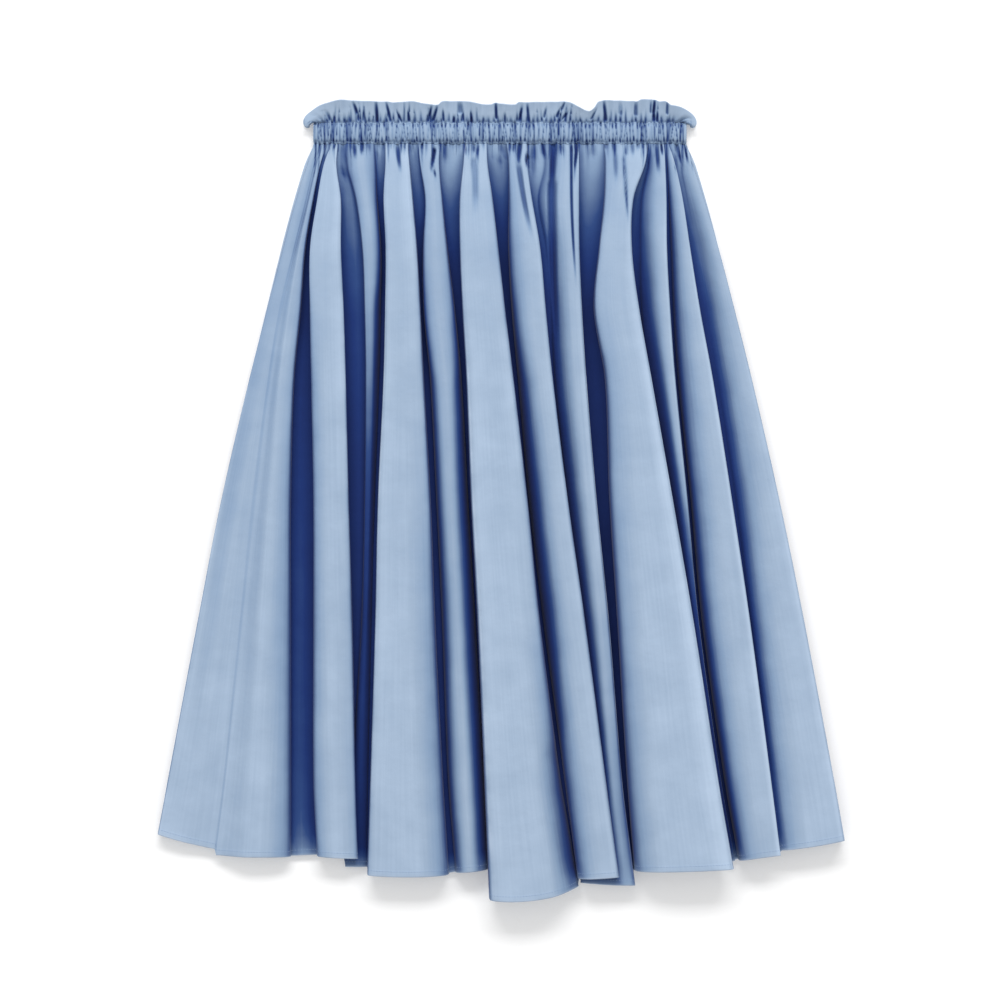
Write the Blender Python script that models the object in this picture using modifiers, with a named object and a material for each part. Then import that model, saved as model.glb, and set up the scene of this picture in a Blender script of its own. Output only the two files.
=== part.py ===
"""A gathered midi skirt in cotton poplin, laid flat with its front up.

The surface is z = 0, the waist points to +Y, the hem to -Y, and X runs across. Every size
below is in millimetres. The front lies on the back. Each panel is gathered onto half of an
elasticated casing, and a ruffled heading stands above the casing.
"""

import math
from collections import namedtuple

import bmesh
import bpy
from mathutils import Vector

MM = 0.001

# Driving sizes
WAIST_WIDTH = 336.0
CASING_DEPTH = 19.0
SEAM_GAP = 0.3
CLOTH = 1.2
# Where the waist seam lies along Y
SEAM_Y = 320.4
# How high the front's cloth lies at its side seams and in its valleys, and along its waist seam
FRONT_REST = 4.8
FRONT_SEAM_RISE = 5.4
# The share of the width over which a waist seam comes down to its side seams, and how far
# below the seam the front has come down and its folds stand at their full height
SEAM_SIDE = 0.035
SEAM_RISE_FADE = 70.0
HEIGHTS_GROW = 50.0
# The gathers at the front's seam: their height, how soon it falls off down the panel, and the
# most that it may be for each millimetre between two points
GATHER_HEIGHT = 2.0
GATHER_FADE = 38.0
GATHER_STEEPNESS = 0.8
GATHER_EVENNESS = 0.85
# How far below the seam the gathered cloth has opened out into its folds
OPENING_LENGTH = 40.0
# How far the points of the waist seam keep to the places of their folds, from 0, where they
# are spread evenly, to 1
SEAM_FOLLOWS_FOLDS = 0.5

# Distances below the waist seam at which the edges of the folds are given
EDGE_DROPS = (20.0, 96.0, 321.0, 573.0, 640.0)
# Distances below the waist seam at which the heights of the folds are given
CROWN_DROPS = (20.0, 96.0, 321.0, 640.0)

# How a fold's side turns down into its valley: how high its edge stands as a share of the
# fold, how far the foot is tucked in under the edge, and where the rounded shoulder begins
Side = namedtuple("Side", "lip tuck shoulder")
SIDES = {
    "seam": Side(lip=0.42, tuck=0.0, shoulder=7.0),
    "sharp": Side(lip=0.52, tuck=3.5, shoulder=4.0),
    "over": Side(lip=0.66, tuck=13.0, shoulder=5.0),
    "soft": Side(lip=0.50, tuck=-6.0, shoulder=9.0),
}

# The front folds from left to right. left and right are the places of the fold's edges at
# EDGE_DROPS, crown is its height at CROWN_DROPS, dip is how far the valley on its right goes
# down at CROWN_DROPS, from 0 for none to 1 for all the way, hem is the drop of the hem at
# its left and right edge, and points is how many points round its crown, two or more
Fold = namedtuple("Fold", "name sides left right crown dip hem points")
FRONT_FOLDS = (
    Fold("left_outer", ("seam", "soft"),
         (-174, -196, -251, -300, -311), (-166, -189, -226, -249, -256),
         (2, 6, 9, 6), (0, 0, 0.15, 0.95), (623, 636), 3),
    Fold("left_inner", ("over", "sharp"),
         (-162, -184, -218, -248, -257), (-155, -174, -188, -189, -189),
         (2.5, 9, 16, 14), (0.5, 1, 1, 1), (641, 642), 3),
    Fold("first", ("sharp", "over"),
         (-148, -168, -166, -163, -159), (-138, -142, -135, -129, -127),
         (4, 16, 18, 16), (0.6, 0.8, 0.9, 1), (641, 643), 4),
    Fold("first_low", ("soft", "soft"),
         (-131, -120, -124, -130, -134), (-116, -110, -113, -116, -115),
         (4, 10, 8, 5), (0.8, 1, 1, 1), (652, 652), 3),
    Fold("second", ("over", "sharp"),
         (-108, -103, -111, -117, -120), (-86, -76, -63, -52, -49),
         (5, 19, 22, 20), (0.8, 0.9, 0.9, 0.9), (659, 658), 5),
    Fold("second_low", ("soft", "soft"),
         (-77, -70, -54, -44, -40), (-57, -47, -30, -22, -20),
         (4, 12, 11, 10), (0.8, 1, 1, 1), (656, 654), 4),
    Fold("centre", ("sharp", "sharp"),
         (-41, -37, -27, -17, -14), (-11, -2, 25, 49, 57),
         (5, 21, 28, 28), (0.8, 1, 1, 1), (679, 669), 5),
    Fold("centre_right", ("soft", "over"),
         (3, 8, 30, 61, 70), (29, 34, 61, 95, 103),
         (5, 19, 20, 20), (0.8, 0.8, 0.9, 1), (668, 660), 4),
    Fold("third_low", ("soft", "sharp"),
         (40, 49, 68, 92, 99), (66, 71, 87, 110, 116),
         (4, 15, 11, 6), (0.8, 1, 1, 1), (667, 667), 4),
    Fold("wide", ("soft", "over"),
         (85, 87, 98, 117, 127), (115, 118, 155, 196, 208),
         (5, 20, 30, 30), (0.8, 0.9, 0.9, 1), (656, 651), 7),
    Fold("fourth_low", ("soft", "sharp"),
         (126, 131, 155, 192, 203), (145, 149, 168, 203, 213),
         (4, 13, 9, 4), (0.8, 0.8, 0.8, 0.8), (648, 646), 3),
    Fold("fourth", ("soft", "sharp"),
         (151, 157, 174, 211, 220), (161, 171, 208, 243, 251),
         (4, 14, 20, 20), (0.8, 0.9, 0.9, 0.9), (643, 640), 4),
    Fold("right_outer", ("soft", "seam"),
         (167, 178, 217, 251, 259), (175, 198, 251, 300, 311),
         (3, 8, 11, 9), (0, 0, 0, 0), (635, 626), 5),
)

# The places of the back's side seams at EDGE_DROPS, on both sides. Near the waist they show
# past the front.
SIDE_SEAM = (177.0, 198.0, 251.0, 300.0, 311.0)

# The least width left for the foot of a valley, and how high the bottom of one that doesn't
# go down stands, as a share of the lower fold beside it
VALLEY_FOOT = 3.0
VALLEY_FLOOR = 0.9
# The height of a fold above which its feet are tucked in all the way, and the most that one
# is tucked in and that an open one spreads out, as shares of the fold's width
FULL_TUCK_HEIGHT = 15.0
MOST_TUCK = 0.3
MOST_SPREAD = 0.12
# Where below the waist the tucks start, and how soon they are full
TUCKS_START = 36.0
TUCKS_GROW = 75.0
# The turn of a tucked side: how far it's tucked in once it turns fully under, how high its
# heel stands as a share of its edge, and how far its toe comes out as a share of the tuck
TURN_LENGTH = 3.0
HEEL_HEIGHT = 0.3
TOE_LENGTH = 0.12
# How high a fold's shoulders stand, as a share of its crown, how far in they start at most, as
# a share of its width, and how flat its crown is between them
SHOULDER_HEIGHT = 0.88
MOST_SHOULDER = 0.3
CROWN_FLATNESS = 2.2
# How many points go up each side of a fold, from its toe to its edge
SIDE_POINTS = 3

# The creases of the back: their place as a share of the width, and half their width and
# their height at the hem
Crease = namedtuple("Crease", "place half height")
BACK_CREASES = (
    Crease(0.06, 5.0, 1.4), Crease(0.14, 8.0, 2.4), Crease(0.23, 6.0, 2.0),
    Crease(0.30, 9.0, 2.5), Crease(0.38, 6.0, 1.6), Crease(0.47, 9.0, 2.5),
    Crease(0.55, 7.0, 2.2), Crease(0.63, 5.0, 1.5), Crease(0.70, 9.0, 2.5),
    Crease(0.79, 7.0, 2.0), Crease(0.87, 8.0, 2.4), Crease(0.95, 5.0, 1.4),
)
# How wide a crease is at the waist, as a share of its width at the hem, and how much of it is
# flat on top
CREASE_WAIST = 0.35
CREASE_TOP = 0.35
# How much wider the back is for each millimetre down from the waist
BACK_FLARE = 0.86
BACK_GATHER_HEIGHT = 1.2
BACK_GATHER_FADE = 60.0
# The drop of the back's hem at its sides, and how much longer it is in the middle
BACK_HEM_SIDE = 622.0
BACK_HEM_BELLY = 20.0

# How many rows of points run down each piece, and how closely they crowd at the waist
PANEL_ROWS = 15
BACK_ROWS = 10
ROW_CROWDING = 1.55

# The rows of the casing and of the heading, as shares of their height
CASING_ROWS = (1.0, 0.5, 0.0)
FRONT_CASING_PUFF = 1.2
FRILL_ROWS = (1.0, 0.6, 0.25, 0.0)

# The heading: its height above the casing at shares of the width
FRILL_TOPS = (
    (0.00, 12.0), (0.04, 17.0), (0.10, 19.0), (0.24, 17.5), (0.33, 15.5), (0.41, 17.5),
    (0.51, 14.5), (0.60, 17.5), (0.70, 16.0), (0.735, 10.5), (0.77, 18.0), (0.86, 18.5),
    (0.95, 17.5), (1.00, 12.0),
)
# The waves of the heading, each with a slower swing over it, and how far its top edge lifts
FRILL_WAVES = 25
FRONT_WAVE_HEIGHT = 2.6
FRONT_WAVE_PHASE = 0.4
BACK_WAVE_HEIGHT = 0.7
BACK_WAVE_PHASE = 2.0
SLOW_SWING = 0.35
SLOW_WAVES = 0.37
SLOW_PHASE = 1.3
LIFT_CURVE = 1.3
FRONT_LIFT = 5.0
BACK_LIFT = 0.6
# How high the back's heading lies, clear of the surface
BACK_FRILL_REST = 0.9
# The ends of the heading, which lie folded out flat beside the casing
EAR_WIDTH = 14.0
EAR_TURN = math.radians(98.0)
EAR_CLEARANCE = 0.8

CLOTH_COLOUR = (0.40, 0.52, 0.72, 1.0)
CLOTH_ROUGHNESS = 0.85


def smooth(value):
    """Ease from 0 to 1."""
    value = min(max(value, 0.0), 1.0)
    return value * value * (3.0 - 2.0 * value)


def mix(first, second, share):
    """Go from first to second by a share."""
    return first + (second - first) * share


def through(places, values, place):
    """Read a smooth curve through values at rising places, straight past its ends."""
    count = len(places)
    slopes = []
    for index in range(count):
        before = max(index - 1, 0)
        after = min(index + 1, count - 1)
        slopes.append((values[after] - values[before]) / (places[after] - places[before]))
    if place <= places[0]:
        return values[0] + slopes[0] * (place - places[0])
    if place >= places[-1]:
        return values[-1] + slopes[-1] * (place - places[-1])
    index = max(i for i in range(count - 1) if places[i] <= place)
    span = places[index + 1] - places[index]
    t = (place - places[index]) / span
    curve = (2 * t ** 3 - 3 * t ** 2 + 1) * values[index]
    curve += (t ** 3 - 2 * t ** 2 + t) * span * slopes[index]
    curve += (3 * t ** 2 - 2 * t ** 3) * values[index + 1]
    curve += (t ** 3 - t ** 2) * span * slopes[index + 1]
    return curve


def fold_feet(drop, crowns, dips):
    """Give the tucks and the feet of both sides of each fold, with the feet kept in order."""
    feet = []
    for index, (fold, crown) in enumerate(zip(FRONT_FOLDS, crowns)):
        full = smooth(crown / FULL_TUCK_HEIGHT) * smooth((drop - TUCKS_START) / TUCKS_GROW)
        left = through(EDGE_DROPS, fold.left, drop)
        right = through(EDGE_DROPS, fold.right, drop)
        most = MOST_TUCK * (right - left)
        spread = MOST_SPREAD * (right - left)
        tucks = []
        for side, dip in zip(fold.sides, (dips[index - 1], dips[index])):
            tucks.append(mix(-spread, min(SIDES[side].tuck, most), full * dip))
        feet.append([left + tucks[0], right - tucks[1]])
    feet[0][0] = through(EDGE_DROPS, FRONT_FOLDS[0].left, drop)
    feet[-1][1] = through(EDGE_DROPS, FRONT_FOLDS[-1].right, drop)
    for first, second in zip(feet, feet[1:]):
        if second[0] - first[1] < VALLEY_FOOT:
            middle = 0.5 * (first[1] + second[0])
            first[1] = middle - 0.5 * VALLEY_FOOT
            second[0] = middle + 0.5 * VALLEY_FOOT
    return feet


def fold_side(edge, foot, floor, crown, side, inward):
    """Give one side of a fold from its foot up, as points (x, z).

    inward is 1 where the fold lies towards +X of this side, and -1 on its other side. The
    foot of a side that hangs over turns under in two steps, and another runs out flat.
    """
    lip = mix(floor, crown, SIDES[side].lip)
    tucked = max((foot - edge) * inward, 0.0)
    turned = smooth(tucked / TURN_LENGTH)
    heel = (mix(0.5 * (foot + edge), foot, turned), mix(floor, lip, HEEL_HEIGHT))
    toe = (foot - TOE_LENGTH * tucked * inward, floor)
    return [toe, heel, (edge, lip)]


def front_section(drop):
    """Give the front's section across, as points (x, z) above its resting height."""
    crowns = [max(through(CROWN_DROPS, fold.crown, drop), 0.0) for fold in FRONT_FOLDS]
    dips = [min(max(through(CROWN_DROPS, fold.dip, drop), 0.0), 1.0) for fold in FRONT_FOLDS]
    floors = [0.0]
    for index in range(len(FRONT_FOLDS) - 1):
        lower = min(crowns[index], crowns[index + 1])
        floors.append(VALLEY_FLOOR * lower * (1.0 - dips[index]))
    floors.append(0.0)
    section = []
    for index, (fold, feet) in enumerate(zip(FRONT_FOLDS, fold_feet(drop, crowns, dips))):
        left = through(EDGE_DROPS, fold.left, drop)
        right = through(EDGE_DROPS, fold.right, drop)
        crown = crowns[index]
        most = MOST_SHOULDER * (right - left)
        inset_left = min(SIDES[fold.sides[0]].shoulder, most)
        inset_right = min(SIDES[fold.sides[1]].shoulder, most)
        section += fold_side(left, feet[0], floors[index], crown, fold.sides[0], 1.0)
        for step in range(fold.points):
            share = step / (fold.points - 1.0)
            x = mix(left + inset_left, right - inset_right, share)
            low = mix(floors[index], floors[index + 1], share)
            bulge = 1.0 - abs(2.0 * share - 1.0) ** CROWN_FLATNESS
            section.append((x, mix(low, crown, mix(SHOULDER_HEIGHT, 1.0, bulge))))
        section += reversed(
            fold_side(right, feet[1], floors[index + 1], crown, fold.sides[1], -1.0))
    return section


def front_hems():
    """Give the drop of the hem for each point of the front's section."""
    hems = []
    for fold in FRONT_FOLDS:
        count = fold.points + 2 * SIDE_POINTS
        for step in range(count):
            hems.append(mix(fold.hem[0], fold.hem[1], step / (count - 1.0)))
    return hems


def seam_rise(share, middle, side):
    """Give the height of a waist seam, which comes down to its side seams."""
    near = min(share, 1.0 - share) / SEAM_SIDE
    return mix(side, middle, math.sqrt(1.0 - (1.0 - min(near, 1.0)) ** 2))


def gather(index, height):
    """Give the height of a gather at a point of the seam, high and low by turns."""
    uneven = mix(math.sin(1.7 * index), 1.0, GATHER_EVENNESS)
    return height * uneven * (index % 2)


def row_drops(rows):
    """Give the shares down a panel at which its rows lie, closer near the waist."""
    return [(row / (rows - 1.0)) ** ROW_CROWDING for row in range(rows)]


def front_points():
    """Give the rows of points of the front panel, from the waist seam to the hem."""
    hems = front_hems()
    columns = len(hems)
    top = front_section(EDGE_DROPS[0])
    narrowing = WAIST_WIDTH / (top[-1][0] - top[0][0])
    rows = []
    for share_down in row_drops(PANEL_ROWS):
        row = []
        for index, hem in enumerate(hems):
            drop = share_down * hem
            section = front_section(drop)
            section_x, section_z = section[index]
            share = index / (columns - 1.0)
            own_x = (top[index][0] - top[0][0]) * narrowing - 0.5 * WAIST_WIDTH
            seam_x = mix(WAIST_WIDTH * (share - 0.5), own_x, SEAM_FOLLOWS_FOLDS)
            opened = smooth(drop / OPENING_LENGTH)
            x = mix(seam_x, section_x, opened)
            middle = mix(FRONT_SEAM_RISE, FRONT_REST, smooth(drop / SEAM_RISE_FADE))
            z = seam_rise(share, middle, FRONT_REST) + section_z * smooth(drop / HEIGHTS_GROW)
            if 1 < index < columns - 2:
                spread = 0.5 * abs(section[index + 1][0] - section[index - 1][0])
                pitch = mix(WAIST_WIDTH / (columns - 1.0), spread, opened)
                height = GATHER_HEIGHT * math.exp(-drop / GATHER_FADE)
                z += gather(index, min(height, GATHER_STEEPNESS * pitch))
            y = SEAM_Y - 0.5 * SEAM_GAP - drop
            row.append((x, y, z))
        rows.append(row)
    return rows


def sheet_mesh(name, rows):
    """Make an open mesh from rows of points in millimetres, faces up."""
    mesh = bmesh.new()
    grid = [[mesh.verts.new(Vector(point) * MM) for point in row] for row in rows]
    for upper, lower in zip(grid, grid[1:]):
        for index in range(len(upper) - 1):
            mesh.faces.new((lower[index], lower[index + 1], upper[index + 1], upper[index]))
    data = bpy.data.meshes.new(name)
    mesh.to_mesh(data)
    mesh.free()
    return data


def cloth_material(name):
    """Make the plain poplin colour of a piece."""
    material = bpy.data.materials.new(name)
    material.use_nodes = True
    shader = material.node_tree.nodes["Principled BSDF"]
    shader.inputs["Base Color"].default_value = CLOTH_COLOUR
    shader.inputs["Roughness"].default_value = CLOTH_ROUGHNESS
    shader.inputs["Metallic"].default_value = 0.0
    return material


def cloth_piece(name, rows, side, collection):
    """Make one piece of cloth from its rows of points.

    side is 0 where the points are the middle of the wall, and 1 where they are its underside.
    """
    piece = bpy.data.objects.new(name, sheet_mesh(name, rows))
    piece.data.materials.append(cloth_material(name + "_poplin"))
    collection.objects.link(piece)
    wall = piece.modifiers.new("wall", "SOLIDIFY")
    wall.thickness = CLOTH * MM
    wall.offset = side
    wall.use_rim = True
    return piece


def back_section(share_down, drop):
    """Give the back's section across, as points (share of the width, z)."""
    points = [(0.0, 0.0)]
    grow = mix(CREASE_WAIST, 1.0, share_down)
    width = WAIST_WIDTH + BACK_FLARE * drop
    for crease in BACK_CREASES:
        half = crease.half * grow / width
        height = crease.height * smooth(drop / OPENING_LENGTH)
        points.append((crease.place - half, 0.0))
        points.append((crease.place - CREASE_TOP * half, height))
        points.append((crease.place + CREASE_TOP * half, height))
        points.append((crease.place + half, 0.0))
    points.append((1.0, 0.0))
    return points


def back_half_width(drop):
    """Give half the width of the back at a drop below the waist."""
    side_seam = through(EDGE_DROPS, SIDE_SEAM, drop)
    return mix(0.5 * WAIST_WIDTH, side_seam, smooth(drop / OPENING_LENGTH))


def back_gather(index):
    """Give the height of a gather of the back, two points high and two on the surface."""
    return BACK_GATHER_HEIGHT if index % 4 in (2, 3) else 0.0


def back_points():
    """Give the rows of underside points of the back panel, from the seam to the hem."""
    rows = []
    for share_down in row_drops(BACK_ROWS):
        row = []
        count = 4 * len(BACK_CREASES) + 2
        for index in range(count):
            base_share = back_section(1.0, BACK_HEM_SIDE)[index][0]
            hem = BACK_HEM_SIDE + BACK_HEM_BELLY * (1.0 - (2.0 * base_share - 1.0) ** 2)
            drop = share_down * hem
            opened = smooth(drop / BACK_GATHER_FADE)
            share, height = back_section(share_down, drop)[index]
            share = mix(index / (count - 1.0), share, opened)
            x = back_half_width(drop) * (2.0 * share - 1.0)
            z = height + back_gather(index) * (1.0 - opened)
            row.append((x, SEAM_Y - 0.5 * SEAM_GAP - drop, z))
        rows.append(row)
    return rows


def casing_points(columns, middle, side, puff, ripple):
    """Give the rows of points of one half of the casing, from its top to the waist seam."""
    rows = []
    for share_up in CASING_ROWS:
        row = []
        for index in range(columns):
            share = index / (columns - 1.0)
            x = WAIST_WIDTH * (share - 0.5)
            z = seam_rise(share, middle, side) + puff * math.sin(math.pi * share_up)
            if min(index, columns - 1 - index) > 1:
                z += ripple(index)
            y = SEAM_Y + 0.5 * SEAM_GAP + (CASING_DEPTH - SEAM_GAP) * share_up
            row.append((x, y, z))
        rows.append(row)
    return rows


def frill_points(columns, middle, side, lift, wave_height, phase):
    """Give the rows of points of one half of the heading, from its top to the casing."""
    places = [top[0] for top in FRILL_TOPS]
    heights = [top[1] for top in FRILL_TOPS]
    rows = []
    for share_up in FRILL_ROWS:
        row = []
        for index in range(columns):
            share = index / (columns - 1.0)
            base_x = WAIST_WIDTH * (share - 0.5)
            edge = min(share, 1.0 - share) * WAIST_WIDTH / EAR_WIDTH
            ear = (1.0 - smooth(edge)) * (-1.0 if share < 0.5 else 1.0)
            length = through(places, heights, share) * share_up
            x = base_x + EAR_CLEARANCE * ear + length * math.sin(EAR_TURN * ear)
            y = SEAM_Y + CASING_DEPTH + 0.5 * SEAM_GAP + length * math.cos(EAR_TURN * ear)
            y += EAR_CLEARANCE * abs(ear)
            turn = 2.0 * math.pi * FRILL_WAVES * share
            swing = math.sin(turn + phase) + SLOW_SWING * math.sin(SLOW_WAVES * turn + SLOW_PHASE)
            z = seam_rise(share, middle, side) + lift * share_up ** LIFT_CURVE
            z += wave_height * swing * share_up * smooth(edge * 1.2)
            row.append((x, y, z))
        rows.append(row)
    return rows


def build():
    """Build the six pieces of the skirt."""
    for thing in list(bpy.data.objects):
        bpy.data.objects.remove(thing)
    collection = bpy.data.collections.new("gathered_skirt")
    bpy.context.scene.collection.children.link(collection)

    front = front_points()
    columns = len(front[0])
    cloth_piece("front_panel", front, 0.0, collection)
    cloth_piece("back_panel", back_points(), 1.0, collection)

    front_casing = casing_points(
        columns, FRONT_SEAM_RISE, FRONT_REST, FRONT_CASING_PUFF,
        lambda index: gather(index, GATHER_HEIGHT))
    cloth_piece("front_casing", front_casing, 0.0, collection)
    back_columns = 4 * len(BACK_CREASES) + 2
    back_casing = casing_points(back_columns, 0.0, 0.0, 0.0, back_gather)
    cloth_piece("back_casing", back_casing, 1.0, collection)

    front_frill = frill_points(
        4 * FRILL_WAVES + 1, FRONT_SEAM_RISE, FRONT_REST, FRONT_LIFT, FRONT_WAVE_HEIGHT,
        FRONT_WAVE_PHASE)
    cloth_piece("front_frill", front_frill, 0.0, collection)
    back_frill = frill_points(
        3 * FRILL_WAVES + 1, BACK_FRILL_REST, BACK_FRILL_REST, BACK_LIFT, BACK_WAVE_HEIGHT,
        BACK_WAVE_PHASE)
    cloth_piece("back_frill", back_frill, 1.0, collection)


build()
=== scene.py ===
"""The looks of a gathered midi skirt in light-blue cotton poplin, laid flat with its front up.

Each piece of cloth is a thin shell over its solid. The tables below are in millimetres: x runs
across from the middle of the waist, and a drop is a distance down from the waist seam.
"""

import math
from collections import namedtuple

import bpy
import numpy as np
from bpy.props import FloatProperty, FloatVectorProperty, PointerProperty
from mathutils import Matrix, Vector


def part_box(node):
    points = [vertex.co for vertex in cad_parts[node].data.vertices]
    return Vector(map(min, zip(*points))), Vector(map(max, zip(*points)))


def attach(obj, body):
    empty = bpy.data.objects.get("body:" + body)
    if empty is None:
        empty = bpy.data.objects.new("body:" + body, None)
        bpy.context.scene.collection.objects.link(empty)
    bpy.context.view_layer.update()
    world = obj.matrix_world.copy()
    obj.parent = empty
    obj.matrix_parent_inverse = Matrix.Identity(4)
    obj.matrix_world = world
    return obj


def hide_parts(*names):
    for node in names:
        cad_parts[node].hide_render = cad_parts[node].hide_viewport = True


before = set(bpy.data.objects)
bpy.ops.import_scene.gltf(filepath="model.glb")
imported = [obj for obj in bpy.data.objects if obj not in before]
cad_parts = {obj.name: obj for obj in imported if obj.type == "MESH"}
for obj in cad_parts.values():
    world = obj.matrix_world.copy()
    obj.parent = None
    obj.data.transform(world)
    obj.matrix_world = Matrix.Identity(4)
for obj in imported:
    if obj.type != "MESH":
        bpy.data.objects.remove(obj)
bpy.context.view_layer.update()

bl_info = {
    "name": "Gathered Skirt",
    "version": (1, 0, 0),
    "blender": (4, 5, 0),
    "location": "View3D > Sidebar > Skirt",
    "description": "Makes the cloth, sewing and studio of a gathered poplin skirt",
    "category": "Add Mesh",
}

MM = 0.001
BODY = "root"

# Places taken from the frame
CASING_LOW, CASING_HIGH = np.array(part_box("front_casing")) / MM
PANEL_HIGH = np.array(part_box("front_panel")[1]) / MM
SEAM_Y = 0.5 * (PANEL_HIGH[1] + CASING_LOW[1])
CASING_TOP = CASING_HIGH[1]
WAIST = CASING_HIGH[0] - CASING_LOW[0]
SEAM_GAP = 0.15

# Drops at which the edges, the heights and the softness of the front folds are given
EDGE_DROPS = (0, 20, 51, 96, 150, 213, 321, 429, 573, 636)
CROWN_DROPS = (0, 20, 51, 96, 321, 640)
SOFT_DROPS = (20, 96, 213, 429, 640)

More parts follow.
